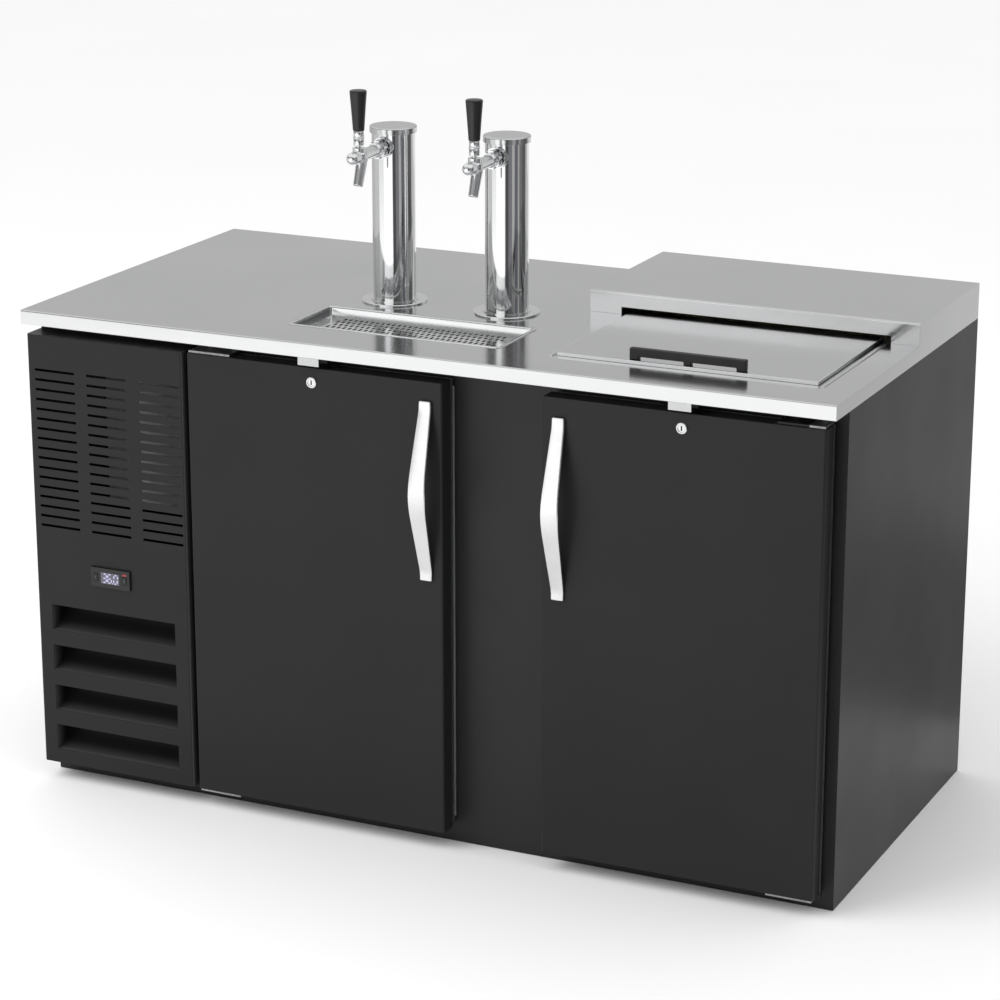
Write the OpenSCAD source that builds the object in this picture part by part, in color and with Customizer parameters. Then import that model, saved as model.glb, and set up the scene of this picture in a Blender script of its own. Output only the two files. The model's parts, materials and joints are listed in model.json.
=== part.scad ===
// Two-door direct draw beer dispenser with two draft towers and a sliding top lid.
// Millimetres, +Z up, +Y to the back, origin on the floor under the middle of the worktop.

/* [Cabinet] */
// Width over the cabinet sides
cabinet_w = 1499; // [1450:1:1600]
// Depth of the worktop from the front nosing to the back
cabinet_d = 749; // [730:1:800]
// Height of the worktop above the floor
top_h = 877; // [860:1:920]
// Height of the worktop's turned-down edge
nosing_h = 25; // [20:1:30]
// Thickness of the cabinet's sheet steel
sheet = 1.2; // [0.8:0.1:1.6]
// Thickness of the stainless worktop sheet
top_sheet = 1.5; // [1:0.1:2]
// Radius of the worktop and hood bends
bend_r = 3; // [2.2:0.1:4]
// Thickness of the insulated side and rear walls
wall_t = 46; // [42:1:48]
// Thickness of the wall between machine bay and cold space
partition_t = 36; // [30:1:38]
// Thickness of the insulated floor
floor_t = 55; // [45:1:56]
// Thickness of the insulated roof under the worktop rim
roof_t = 44; // [36:1:46]
// Thickness of the inner liner
liner_t = 1; // [0.8:0.1:1.2]
// Distance of the cabinet front behind the nosing
front_setback = 63; // [60:1:68]
// Distance of the door and grille faces behind the nosing
face_setback = 12; // [9:1:14]
// Thickness of the base pan
base_t = 2; // [1.5:0.1:3]
// Radius of the threaded leg sockets
leg_r = 6.35; // [5:0.05:8]
// Distance of the leg sockets from the cabinet's edges
leg_inset = 60; // [45:1:80]
// Depth of the threaded leg sockets
leg_socket_h = 20; // [14:1:26]

/* [Fits] */
// Gap between fixed pieces that are set beside each other
seat_gap = 0.2; // [0.1:0.05:0.3]
// Running clearance of pins and shafts, on the radius
run_gap = 0.05; // [0.02:0.01:0.09]
// Clearance between pieces that move past each other
move_gap = 0.4; // [0.3:0.05:0.6]

/* [Machine bay] */
// Width of the machine bay
bay_w = 316; // [310:1:322]
// Edge gap beside the grille panel
grille_edge = 2; // [1:0.5:3]
// Rows of air slots in the grille
slot_rows = 17; // [10:1:18]
// Columns of air slots in the grille
slot_cols = 3; // [2:1:3]
// Width of one air slot
slot_w = 81; // [60:1:90]
// Height of one air slot
slot_h = 4.5; // [3:0.5:7]
// Distance between slot rows
slot_pitch = 17.8; // [14:0.1:18.5]
// Distance between the middles of the slot columns
slot_col_pitch = 105.5; // [96:0.5:106]
// Sideways shift of the slot field from the panel's middle
slot_shift = 4; // [0:0.5:5]
// Distance of the first slot row below the panel's top
slot_drop = 63; // [50:1:75]
// Number of scooped air louvres
louvre_count = 4; // [2:1:4]
// Width of one louvre
louvre_w = 255; // [200:1:270]
// Height of one louvre
louvre_h = 47; // [36:1:50]
// Distance between louvres
louvre_pitch = 76.4; // [66:0.1:80]
// Height of the lowest louvre above the panel's bottom
louvre_rise = 27; // [20:1:34]
// Angle over which a louvre's scoop curves inward
louvre_sweep = 72; // [60:1:74]

/* [Thermostat] */
// Width of the thermostat bezel
bezel_w = 80; // [74:1:90]
// Height of the thermostat bezel
bezel_h = 36; // [32:1:42]
// Height of the thermostat's middle above the grille's bottom
thermostat_rise = 370; // [355:1:378]
// Width of the display window
display_w = 38; // [30:1:42]
// Height of the display window
display_h = 21; // [16:1:24]
// Depth of the thermostat behind the panel
thermostat_d = 34; // [30:1:40]
// Travel of a thermostat key
key_travel = 1; // [0.6:0.1:1.4]

/* [Doors] */
// Width of one door
door_w = 486; // [470:1:495]
// Height of the door bottoms above the floor
door_bottom = 33; // [30:1:38]
// Gap between the door tops and the nosing's lower edge
header_gap = 20; // [18:1:24]
// Gap between the grille panel and the left door
door_side_gap = 9; // [8:1:14]
// Width of the cabinet front beside the right door
right_stile = 19; // [16:1:24]
// Depth of the door skin's folded sides
skin_return = 33; // [28:1:36]
// Radius of the door skin's front corners
door_r = 4; // [3:0.5:6]
// Thickness of the door gasket, closed
gasket_t = 7; // [5:0.5:9]
// Width of the door gasket
gasket_w = 14; // [10:1:15]
// Distance of the gasket from the door's edge
gasket_inset = 15; // [14.5:0.5:16]
// Distance of the door opening from the door's edge
opening_inset = 30; // [29:0.5:34]
// Thickness of the door's inner liner pan
door_liner_t = 1.5; // [1:0.1:2]
// Depth of the flange round each door opening
opening_flange = 20; // [14:1:28]
// Depth of the insulated post between the doors
mullion_d = 45; // [36:1:60]

/* [Hinges] */
// Distance of the hinge pin from the door's edge and face
pin_inset = 14; // [12:0.5:14]
// Radius of the hinge pin
pin_r = 4; // [3:0.1:5]
// Length of the hinge pin inside the door
pin_l = 18; // [12:1:24]
// Wall of the hinge bush in the door
bush_t = 4; // [3:0.5:6]
// Length of a hinge bracket along the door
bracket_w = 80; // [60:1:100]
// Thickness of a hinge bracket
bracket_t = 4; // [3:0.5:5]
// Gap between bracket and door
bracket_gap = 0.6; // [0.4:0.1:1]
// Height of the bracket's fixed leaf
bracket_leaf = 11; // [8:0.5:12]

/* [Door handles] */
// Overall height of a door handle
handle_h = 312; // [260:1:340]
// Reach of the handle in front of the door
handle_out = 41; // [36:1:46]
// Thickness of the handle's strap
handle_t = 7; // [5:0.5:9]
// Width of the handle at its ends
handle_end_w = 21.5; // [16:0.5:24]
// Width of the handle at its middle
handle_mid_w = 32; // [26:1:36]
// Height of the flat foot at each end of the handle
handle_foot = 16; // [12:1:22]
// Radius of the handle's bend at its middle
handle_bend_r = 150; // [100:1:155]
// Distance of the handle's middle from the door's free edge
handle_inset = 29; // [24:1:36]
// Distance of the handle's top below the door's top
handle_drop = 32; // [24:1:60]

/* [Locks] */
// Radius of the lock barrel
lock_r = 8; // [7:0.5:9]
// Radius of the lock's front head
lock_head_r = 9.5; // [9.2:0.1:11]
// Height of the lock's front head
lock_head_t = 1.6; // [1.2:0.1:2.4]
// Distance of the lock's axis below the door's top
lock_drop = 25; // [22:0.5:27]
// Distance of the lock's cam behind the door's face
cam_back = 24; // [23:0.5:25]
// Thickness of the lock's cam
cam_t = 3; // [2:0.5:4]
// Width of the lock's cam
cam_w = 10; // [8:0.5:11]
// Length of the lock's cam from its axis
cam_l = 34; // [32:0.5:36]
// Width of a strike tab
strike_w = 40; // [30:1:48]
// Height of a strike's front tab
strike_h = 14; // [10:0.5:15]
// Thickness of a strike
strike_t = 1.8; // [1.2:0.1:2.4]
// Height of the strike's catch lip
catch_h = 16; // [14:0.5:16.5]

/* [Towers] */
// Distance of the towers' midpoint from the cabinet's left side
tower_mid = 665; // [655:1:680]
// Distance between the towers
tower_pitch = 218; // [200:1:240]
// Distance of the tower axes behind the nosing
tower_back = 345; // [332:1:350]
// Radius of the tower column
column_r = 38.1; // [36:0.1:40]
// Wall of the tower column
column_t = 1.6; // [1.2:0.1:2.2]
// Height of the tower column
column_h = 300; // [280:1:340]
// Radius of the base flange
flange_r = 58.5; // [54:0.5:62]
// Thickness of the base flange
flange_t = 3.5; // [3:0.5:6]
// Radius of the column's cap
cap_r = 41.5; // [40.5:0.1:44]
// Height of the column's cap
cap_h = 11; // [8:0.5:14]
// Depth of the cap's plug inside the column
plug_h = 5; // [3:0.5:5.5]
// Radius of the hole in the worktop under each tower
tower_hole_r = 33; // [30:0.5:34]

/* [Faucets] */
// Height of the shank above the worktop
shank_rise = 278; // [260:1:279]
// Radius of the shank
shank_r = 11; // [10:0.5:12]
// Radius of the beer passage
beer_r = 4; // [3:0.1:5]
// Radius of the collar against the column
collar_r = 18.5; // [15:0.5:20]
// Distance of the faucet's rear face from the tower axis
faucet_start = 64; // [60:0.5:68]
// Radius of the coupling nut
nut_r = 16; // [15:0.5:17]
// Length of the coupling nut
nut_l = 13; // [10:0.5:15]
// Length of the faucet body
faucet_l = 99; // [95:1:104]
// Radius of the faucet barrel
barrel_r = 10.5; // [10:0.1:11.5]
// Radius of the bore in the faucet barrel
barrel_bore_r = 6.5; // [6:0.1:7]
// Distance of the lever's pivot from the faucet's rear face
lever_at = 65; // [62:0.5:68]
// Height of the lever's pivot above the barrel axis
pivot_rise = 9.5; // [9.2:0.1:10]
// Radius of the lever's ball
ball_r = 5.5; // [5:0.1:5.6]
// Radius of the bonnet round the lever's ball
bonnet_r = 11; // [10.5:0.1:12.5]
// Height of the bonnet above the barrel axis
bonnet_h = 15.5; // [14.5:0.1:16]
// Radius of the spout
spout_r = 9; // [7:0.1:9.4]
// Radius of the spout's bore
spout_bore_r = 5; // [4:0.1:5.6]
// Length of the spout from the barrel axis
spout_l = 54; // [46:0.5:60]
// Forward tilt of the spout
spout_tilt = 21; // [10:1:24]
// Distance of the spout's root from the faucet's rear face
spout_at = 51; // [48:0.5:53]
// Angle through which the lever is pulled open
lever_swing = 35; // [25:1:36]
// Radius of the lever's stem
stem_r = 3.5; // [3:0.1:3.8]
// Height of the lever's ferrule above the barrel axis
ferrule_rise = 24; // [23:0.5:26]
// Length of the lever's ferrule
ferrule_l = 20.5; // [16:0.5:24]
// Radius of the lever's ferrule
ferrule_r = 8.8; // [7:0.1:9.4]
// Length of the lever's finger below the pivot
finger_l = 10.5; // [10:0.1:11]
// Radius of the lever's finger
finger_r = 1.6; // [1.2:0.1:1.8]
// Radius of the valve shaft
shaft_r = 3.2; // [2.8:0.1:3.4]
// Height of the tap handle
tap_h = 69; // [55:1:90]
// Radius of the tap handle at its lower end
tap_low_r = 10; // [9.5:0.1:12.5]
// Radius of the tap handle at its top
tap_top_r = 14.8; // [13:0.1:18]

/* [Drip tray] */
// Distance of the tray's middle from the cabinet's left side
tray_mid = 672; // [660:1:684]
// Distance of the tray's front rim behind the nosing
tray_front = 104; // [98:1:106]
// Width of the tray over its rim
tray_w = 404; // [380:1:410]
// Depth of the tray over its rim, front to back
tray_d = 154; // [140:1:156]
// Width of the tray's rim
tray_rim = 9; // [6:0.5:12]
// Depth of the pan below the worktop
tray_depth = 28; // [24:1:34]
// Thickness of the tray's sheet
tray_sheet = 1.2; // [0.8:0.1:1.6]
// Depth of the grid's top below the worktop
grid_drop = 14; // [10:0.5:15]
// Thickness of the grid
grid_t = 2; // [1.5:0.1:3]
// Width of one slot in the grid
grid_slot_w = 5; // [4:0.5:6]
// Length of one slot in the grid
grid_slot_l = 13; // [9:0.5:15]
// Distance between grid slots along the tray
grid_pitch = 10.5; // [9:0.5:14]
// Distance between grid slot rows
grid_row_pitch = 18.5; // [17:0.5:24]
// Radius of the drain tailpiece's bore
drain_r = 6.5; // [5:0.5:8]
// Wall of the drain tailpiece
drain_t = 2.5; // [2:0.5:3.5]
// Length of the drain tailpiece below the tray
drain_l = 52; // [45:1:60]

/* [Sliding lid] */
// Width of the raised hood behind the lid
hood_w = 597.5; // [580:0.5:610]
// Distance of the hood's front behind the nosing
hood_front = 414; // [405:1:425]
// Height of the hood above the worktop
hood_h = 39; // [35:1:46]
// Distance of the lid's middle from the cabinet's right side
lid_mid = 294; // [290:1:300]
// Width of the lid
lid_w = 454; // [440:1:460]
// Distance of the lid's front behind the nosing
lid_front = 103; // [98:1:108]
// Length of the lid behind the hood's front
lid_tuck = 14; // [10:1:20]
// Height of the lid's top above the worktop
lid_proud = 6.5; // [5:0.5:8]
// Height of the lid's folded edge
lid_edge = 15; // [12:0.5:18]
// Gap between the lid and its runners
lid_gap = 6; // [4:0.5:7]
// Width of the runner's ledge under the lid
ledge_w = 18; // [14:1:22]
// Height of the slot in the hood above the worktop
slot_open_h = 13; // [11:0.5:15]
// Length of the lid's bar handle
lid_handle_w = 202; // [160:1:230]
// Height of the lid's bar handle
lid_handle_h = 19; // [17:0.5:22]
// Depth of the lid's bar handle
lid_handle_d = 12; // [9:0.5:15]
// Thickness of the lid handle's bar
lid_bar_t = 14; // [10:0.5:14.5]
// Width of the lid handle's legs
lid_leg_w = 16; // [10:1:20]
// Distance of the lid handle behind the lid's front
lid_handle_back = 6; // [4:0.5:12]

/* [Refrigeration] */
// Radius of the condenser fan
cond_fan_r = 100; // [80:1:108]
// Radius of the evaporator fan
evap_fan_r = 62; // [50:1:66]
// Number of blades on each fan
fan_blades = 5; // [4:1:6]
// Pitch angle of the fan blades
blade_pitch = 28; // [20:1:34]
// Length of each fan hub
fan_hub_l = 22; // [18:1:26]
// Radius of the motor shafts
motor_shaft_r = 4; // [3:0.1:5]
// Radius of the motor bodies
motor_r = 28; // [24:1:30]
// Length of the motor bodies
motor_l = 46; // [40:1:56]
// Number of fins on the condenser
cond_fins = 26; // [16:1:30]
// Number of fins on the evaporator
evap_fins = 24; // [14:1:28]
// Thickness of the coil fins
fin_t = 1; // [0.6:0.1:1.5]
// Radius of the coil tubes
tube_r = 5; // [4:0.1:6]
// Radius of the compressor's shell
comp_r = 88; // [76:1:96]
// Height of the compressor's shell
comp_h = 190; // [160:1:220]
// Radius of the refrigerant pipes
pipe_r = 4.5; // [3.5:0.1:5]
// Radius of the liquid refrigerant pipe
liquid_r = 3.2; // [2.5:0.1:4]
// Radius of the pipe port through the partition
port_r = 20; // [16:1:24]

/* [Hidden] */
$fn = 48;
left = -1;
right = 1;

// Main planes of the cabinet
x_left = -cabinet_w / 2;
x_right = cabinet_w / 2;
y_nose = -cabinet_d / 2;
y_back = cabinet_d / 2;
y_front = y_nose + front_setback;
y_face = y_nose + face_setback;
rim_z = top_h - nosing_h;
door_top = rim_z - header_gap;
door_h = door_top - door_bottom;
door_t = front_setback - face_setback - gasket_t;
cut = 1;

// Cold space inside the insulation
cold_x0 = x_left + bay_w + partition_t;
cold_x1 = x_right - sheet - wall_t;
cold_y0 = y_front + sheet;
cold_y1 = y_back - sheet - wall_t;
cold_z0 = base_t + floor_t;
cold_z1 = rim_z - roof_t;

// Door openings
left_door_x = x_left + bay_w + door_side_gap;
right_door_x = x_right - right_stile;
left_open_x = left_door_x + opening_inset;
right_open_x = right_door_x - door_w + opening_inset;
open_w = door_w - 2 * opening_inset;
open_z0 = door_bottom + opening_inset;
open_h = door_h - 2 * opening_inset;

// Tray, towers and the chase under them
tray_x = x_left + tray_mid;
tray_y0 = y_nose + tray_front;
pan_w = tray_w - 2 * tray_rim;
pan_d = tray_d - 2 * tray_rim;
tower_y = y_nose + tower_back;
chase_gap = 6;
chase_y1 = tower_y + tower_hole_r + chase_gap;

// Lid, hood, runners and well
lid_x = x_right - lid_mid;
lid_y0 = y_nose + lid_front;
hood_y0 = y_nose + hood_front;
lid_d = hood_front + lid_tuck - lid_front;
lid_top = top_h + lid_proud;
lid_z0 = lid_top - lid_edge;
runner_t = 1.5;
runner_rim = 5;
slot_side = 11;
ledge_top = lid_z0 - move_gap;
lid_bay_w = lid_w + 2 * lid_gap;
bay_y0 = lid_y0 - lid_gap;
bay_back = 8;
bay_y1 = y_back - bay_back;
well_w = lid_bay_w - 2 * ledge_w;
well_margin = 12;
well_y0 = bay_y0 + well_margin;
well_y1 = hood_y0 - well_margin;

// Slope of the handle's ramps, so that they run from the feet into the bend
strap_rise = handle_h / 2 - handle_foot;
strap_reach = handle_out - handle_t;
strap_span = 2 * handle_bend_r - strap_reach;
ramp = 2 * atan((strap_rise - sqrt(strap_rise * strap_rise - strap_reach * strap_span)) / strap_span);
ramp_end = strap_rise + handle_foot;

// Machine bay interior
bay_x = x_left + bay_w / 2;
bay_margin = 12;
bay_open_z0 = 45;
bay_open_z1 = door_top - bay_margin;
partition_x = x_left + bay_w;

// Control box on the bay's wall, behind the slots
control_w = 200;
control_d = 64;
control_h = 270;
control_z0 = 524;
control_y0 = y_front + 22;

// Thermostat
thermo_x = bay_x;
thermo_z = door_bottom + thermostat_rise;
bezel_t = 5;
thermo_body_w = bezel_w - 9;
thermo_body_h = bezel_h - 7;
key_w = 8;
key_h = 13;
key_t = 3.5;
key_proud = 0.8;
key_x = (display_w / 2 + bezel_w / 2) / 2;

// Condenser, its fan and the compressor
cond_w = bay_w - 44;
cond_h = 290;
cond_d = 44;
cond_z0 = 34;
cond_y0 = y_front + sheet + 10;
cond_rows = 8;
shroud_t = 1.5;
shroud_gap = 4;
shroud_y = cond_y0 + cond_d + shroud_gap;
cond_fan_z = cond_z0 + cond_h / 2;
cond_fan_y = shroud_y + 16;
fan_tip_gap = 5;
motor_gap = 3;
motor_arm_t = 3;
arm_gap = 2;
comp_plate_w = 2 * comp_r + 16;
comp_gap = 2;
comp_y = y_back - leg_inset - 2 * leg_r - comp_plate_w / 2 - comp_gap;
comp_foot_h = 14;
comp_z0 = base_t + comp_foot_h;

// Evaporator housing on the partition side of the cold space
evap_x0 = cold_x0 + liner_t;
evap_w = 92;
evap_d = 330;
evap_h = 330;
evap_y1 = cold_y1 - liner_t - 30;
evap_y0 = evap_y1 - evap_d;
evap_z1 = cold_z1 - liner_t - 14;
evap_z0 = evap_z1 - evap_h;
evap_sheet = 1;
evap_fan_gap = 6;
evap_fan_y = (evap_y0 + evap_y1) / 2;
evap_fan_z = evap_z0 + evap_fan_r + 34;
coil_h = 120;
coil_d = evap_d - 40;
coil_w = 50;
coil_z1 = evap_z1 - 26;
coil_x = evap_x0 + 10;
evap_rows = 3;
port_inset = 9;
port_y = evap_y0 + port_inset;
coil_y0 = evap_y0 + (evap_d - coil_d) / 2;
port_z = coil_z1 - coil_h / 2;

// Shared shapes

// Box given by two corners
module box(a, b) {
  translate(a) cube([b[0] - a[0], b[1] - a[1], b[2] - a[2]]);
}

// Rectangle whose two front corners are rounded
module round_front(w, d, r) {
  translate([r, 0]) square([w - 2 * r, d]);
  translate([0, r]) square([w, d - r]);
  for (x = [r, w - r]) {
    translate([x, r]) circle(r);
  }
}

// Sheet pan with a rounded front and an open back
module front_pan(w, d, h, r, t) {
  difference() {
    linear_extrude(h) round_front(w, d, r);
    translate([t, t, t]) linear_extrude(h - 2 * t) round_front(w - 2 * t, d, max(r - t, 0.5));
  }
}

// Section across a folded sheet whose upper corners are rounded
module folded_section(d, h, t, r) {
  difference() {
    union() {
      translate([0, 0]) square([d, h - r]);
      translate([r, 0]) square([d - 2 * r, h]);
      for (y = [r, d - r]) {
        translate([y, h - r]) circle(r);
      }
    }
    translate([t, -cut]) square([d - 2 * t, h - t - r + t + cut]);
    translate([r, -cut]) square([d - 2 * r, h - t + cut]);
    for (y = [r, d - r]) {
      translate([y, h - r]) circle(r - t);
    }
  }
}

// Stands a YZ section up and draws it along X from x0 for a length
module along_x(x0, l) {
  translate([x0, 0, 0]) rotate([90, 0, 90]) linear_extrude(l) children();
}

// Places a door's pieces at its hinge edge, mirrored for the right door
module at_door(side) {
  if (side == left) {
    translate([left_door_x, y_face, door_bottom]) children();
  } else {
    translate([right_door_x, y_face, door_bottom]) mirror([1, 0, 0]) children();
  }
}

// Places a tower's pieces at its axis on the worktop
module at_tower(side) {
  translate([x_left + tower_mid + side * tower_pitch / 2, tower_y, top_h]) children();
}

// Places a faucet's pieces at its rear face, with +Z along the barrel to the front
module at_faucet(side) {
  at_tower(side) translate([0, -faucet_start, shank_rise]) rotate([90, 0, 0]) children();
}

// Rod between two points
module rod(a, b, r) {
  v = b - a;
  l = norm(v);
  translate(a) rotate([0, acos(v[2] / l), atan2(v[1], v[0])]) cylinder(h = l, r = r);
}

// Pipe through a list of points with round corners
module pipe(points, r) {
  for (i = [0:len(points) - 2]) {
    rod(points[i], points[i + 1], r);
  }
  for (i = [1:len(points) - 2]) {
    translate(points[i]) sphere(r);
  }
}

// Fan with pitched blades on a bored hub, turning about +Z
module fan(r) {
  hub_r = motor_shaft_r + 10;
  blade_t = 1.6;
  blade_w = r * 0.8;
  difference() {
    union() {
      cylinder(h = fan_hub_l, r = hub_r);
      intersection() {
        for (i = [0:fan_blades - 1]) {
          rotate(i * 360 / fan_blades) translate([hub_r - 2, 0, fan_hub_l / 2])
            rotate([blade_pitch, 0, 0]) translate([0, -blade_w / 2, -blade_t / 2]) cube([r, blade_w, blade_t]);
        }
        cylinder(h = fan_hub_l, r = r);
      }
    }
    translate([0, 0, -cut]) cylinder(h = fan_hub_l + 2 * cut, r = motor_shaft_r + run_gap);
  }
}

// Motor behind a fan, its shaft along +Z with the fan's plane at zero
module fan_motor(arm_r, arm_l) {
  arm_w = 12;
  rear = -motor_gap - motor_l;
  translate([0, 0, rear]) cylinder(h = motor_l, r = motor_r);
  translate([0, 0, -motor_gap - cut]) cylinder(h = fan_hub_l + motor_gap + cut, r = motor_shaft_r);
  for (i = [0:2]) {
    rotate(90 + i * 120) {
      translate([0, -arm_w / 2, rear]) cube([arm_r, arm_w, motor_arm_t]);
      translate([arm_r - motor_arm_t, -arm_w / 2, rear]) cube([motor_arm_t, arm_w, arm_l]);
    }
  }
}

// Finned coil with tube rows along X, its corner at the origin
module coil(w, d, h, fins, rows) {
  fin_pitch = (w - fin_t) / (fins - 1);
  for (i = [0:fins - 1]) {
    translate([i * fin_pitch, 0, 0]) cube([fin_t, d, h]);
  }
  for (k = [0:rows - 1]) {
    z = (k + 0.5) * h / rows;
    translate([0, d / 2, z]) rotate([0, 90, 0]) cylinder(h = w, r = tube_r);
  }
}

// Cabinet

// Base pan with a threaded leg socket at each corner
module base_pan() {
  x1 = cabinet_w / 2 - sheet;
  color("dimgray") difference() {
    union() {
      box([-x1, y_front + sheet, 0], [x1, y_back - sheet, base_t]);
      leg_places() cylinder(h = leg_socket_h, r = 2 * leg_r);
    }
    leg_places() translate([0, 0, -cut]) cylinder(h = leg_socket_h + 2 * cut, r = leg_r);
  }
}

module leg_places() {
  for (x = [x_left + leg_inset, x_right - leg_inset], y = [y_front + leg_inset, y_back - leg_inset]) {
    translate([x, y, 0]) children();
  }
}

// Space round each leg socket and over it for the end of a leg's screw
module leg_room() {
  end_room = 10;
  leg_places() translate([0, 0, -cut]) cylinder(h = leg_socket_h + end_room + cut, r = 2 * leg_r + seat_gap);
}

module left_side_panel() {
  color("#2b2b2b") box([x_left, y_front, 0], [x_left + sheet, y_back, rim_z]);
}

module right_side_panel() {
  color("#2b2b2b") box([x_right - sheet, y_front, 0], [x_right, y_back, rim_z]);
}

// Rear panel with vent slots behind the machine bay and the cord's hole
module rear_panel() {
  vent_rows = 12;
  vent_w = 200;
  vent_h = 6;
  vent_pitch = 22;
  vent_z0 = 470;
  color("#2b2b2b") difference() {
    box([x_left + sheet, y_back - sheet, 0], [x_right - sheet, y_back, rim_z]);
    for (i = [0:vent_rows - 1]) {
      translate([bay_x - vent_w / 2, y_back - sheet - cut, vent_z0 + i * vent_pitch])
        cube([vent_w, sheet + 2 * cut, vent_h]);
    }
    gland_place() translate([0, 0, -cut]) cylinder(h = sheet + 2 * cut, r = gland_r + seat_gap);
  }
}

gland_r = 10;
gland_rise = 110;
module gland_place() {
  translate([x_left + leg_inset, y_back - sheet, gland_rise]) rotate([-90, 0, 0]) children();
}

// Bush that lines the cord's hole, a groove gripping the panel's edge
module cord_gland() {
  lip = 3;
  inside = 4;
  outside = 2;
  color("#151515") gland_place() difference() {
    union() {
      translate([0, 0, -inside]) cylinder(h = inside, r = gland_r + lip);
      translate([0, 0, -inside]) cylinder(h = inside + sheet + outside, r = gland_r);
    }
    translate([0, 0, -inside - cut]) cylinder(h = inside + sheet + outside + 2 * cut, r = gland_r / 2);
  }
}

// Painted front with an opening for the machine bay and a flanged one for each door
module front_frame() {
  color("#202020") {
    difference() {
      box([x_left + sheet, y_front, 0], [x_right - sheet, y_front + sheet, rim_z]);
      box([x_left + bay_margin, y_front - cut, bay_open_z0],
          [partition_x - bay_margin, y_front + sheet + cut, bay_open_z1]);
      for (x = [left_open_x, right_open_x]) {
        box([x, y_front - cut, open_z0], [x + open_w, y_front + sheet + cut, open_z0 + open_h]);
      }
    }
    for (x = [left_open_x, right_open_x]) {
      opening_ring(x);
    }
  }
}

// Flange folded back round a door opening
module opening_ring(x) {
  difference() {
    box([x - sheet, y_front + sheet / 2, open_z0 - sheet],
        [x + open_w + sheet, y_front + opening_flange, open_z0 + open_h + sheet]);
    box([x, y_front, open_z0], [x + open_w, y_front + opening_flange + cut, open_z0 + open_h]);
  }
}

// Sheet between the machine bay and the insulated partition, with a control box open at its back
module bay_wall() {
  x1 = partition_x - sheet / 2;
  y1 = control_y0 + control_d;
  z1 = control_z0 + control_h;
  color("silver") {
    difference() {
      box([partition_x - sheet, cold_y0, base_t], [partition_x, y_back - sheet, rim_z]);
      port_hole(port_r);
    }
    difference() {
      box([x1 - control_w, control_y0, control_z0], [x1, y1, z1]);
      box([x1 - control_w + sheet, control_y0 + sheet, control_z0 + sheet], [x1 + cut, y1 + cut, z1 - sheet]);
    }
  }
}

module port_hole(r) {
  translate([partition_x - partition_t, port_y, port_z]) rotate([0, 90, 0]) cylinder(h = 3 * partition_t, r = r);
}

// Foam slabs of floor, rear wall, right wall, partition and the post between the doors
module insulation() {
  rear_y = cold_y1;
  slab_z0 = cold_z0 + seat_gap;
  slab_z1 = cold_z1 - seat_gap;
  post_x0 = left_open_x + open_w + sheet + seat_gap;
  post_x1 = right_open_x - sheet - seat_gap;
  color("khaki") {
    difference() {
      box([partition_x + seat_gap, cold_y0, base_t], [x_right - sheet, y_back - sheet, cold_z0]);
      leg_room();
    }
    box([partition_x + seat_gap, rear_y, slab_z0], [x_right - sheet, y_back - sheet, slab_z1]);
    box([cold_x1, cold_y0, slab_z0], [x_right - sheet, rear_y - seat_gap, slab_z1]);
    difference() {
      box([partition_x + seat_gap, cold_y0, slab_z0], [cold_x0, rear_y - seat_gap, slab_z1]);
      port_hole(port_r);
    }
    box([post_x0, cold_y0, cold_z0 + liner_t + seat_gap], [post_x1, cold_y0 + mullion_d, cold_z1 - liner_t - seat_gap]);
  }
}

// Inner liner of the cold space with a collar up through the roof at the lid's well
module cabinet_liner() {
  g = seat_gap;
  x0 = cold_x0 + g;
  x1 = cold_x1 - g;
  y1 = cold_y1 - g;
  z0 = cold_z0 + g;
  z1 = cold_z1 - g;
  y0 = y_front + opening_flange + g;
  color("gainsboro") {
    difference() {
      box([x0, y0, z0], [x1, y1, z1]);
      box([x0 + liner_t, y0 - cut, z0 + liner_t], [x1 - liner_t, y1 - liner_t, z1 - liner_t]);
      chase(z1 - 2 * liner_t, z1 + cut, 0);
      well(z1 - 2 * liner_t, z1 + cut, 0);
      port_hole(port_r);
    }
    difference() {
      well(z1 - liner_t, ledge_top - runner_t - g, 0);
      well(z1 - 2 * liner_t, ledge_top, -liner_t);
    }
  }
}

// Space of the lid's well between two heights, grown by a margin
module well(z0, z1, grow) {
  box([lid_x - well_w / 2 - grow, well_y0 - grow, z0], [lid_x + well_w / 2 + grow, well_y1 + grow, z1]);
}

// Space of the chase under tray and towers between two heights, grown by a margin
module chase(z0, z1, grow) {
  box([tray_x - pan_w / 2 - chase_gap - grow, tray_y0 + tray_rim - chase_gap - grow, z0],
      [tray_x + pan_w / 2 + chase_gap + grow, chase_y1 + grow, z1]);
}

// Worktop

// Stainless sheet folded down on all sides, cut out for tray, towers and lid
module worktop() {
  color("#b0b0b0") difference() {
    union() {
      along_x(x_left, cabinet_w) translate([y_nose, rim_z]) folded_section(cabinet_d, nosing_h, top_sheet, bend_r);
      for (x = [x_left, x_right - top_sheet]) {
        along_x(x, top_sheet) translate([y_nose, rim_z]) end_section(cabinet_d, nosing_h, bend_r);
      }
      box([x_left + top_sheet / 2, y_nose + top_sheet / 2, rim_z],
          [x_right - top_sheet / 2, y_front, rim_z + top_sheet]);
    }
    box([tray_x - pan_w / 2 - 1, tray_y0 + tray_rim - 1, rim_z + nosing_h / 2],
        [tray_x + pan_w / 2 + 1, tray_y0 + tray_d - tray_rim + 1, top_h + cut]);
    for (side = [left, right]) {
      at_tower(side) translate([0, 0, -top_sheet - cut]) cylinder(h = top_sheet + 2 * cut, r = tower_hole_r);
    }
    lid_bay(rim_z + nosing_h / 2, top_h + cut, 0);
  }
}

// End of the folded sheet
module end_section(d, h, r) {
  square([d, h - r]);
  translate([r, 0]) square([d - 2 * r, h]);
  for (y = [r, d - r]) {
    translate([y, h - r]) circle(r);
  }
}

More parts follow.
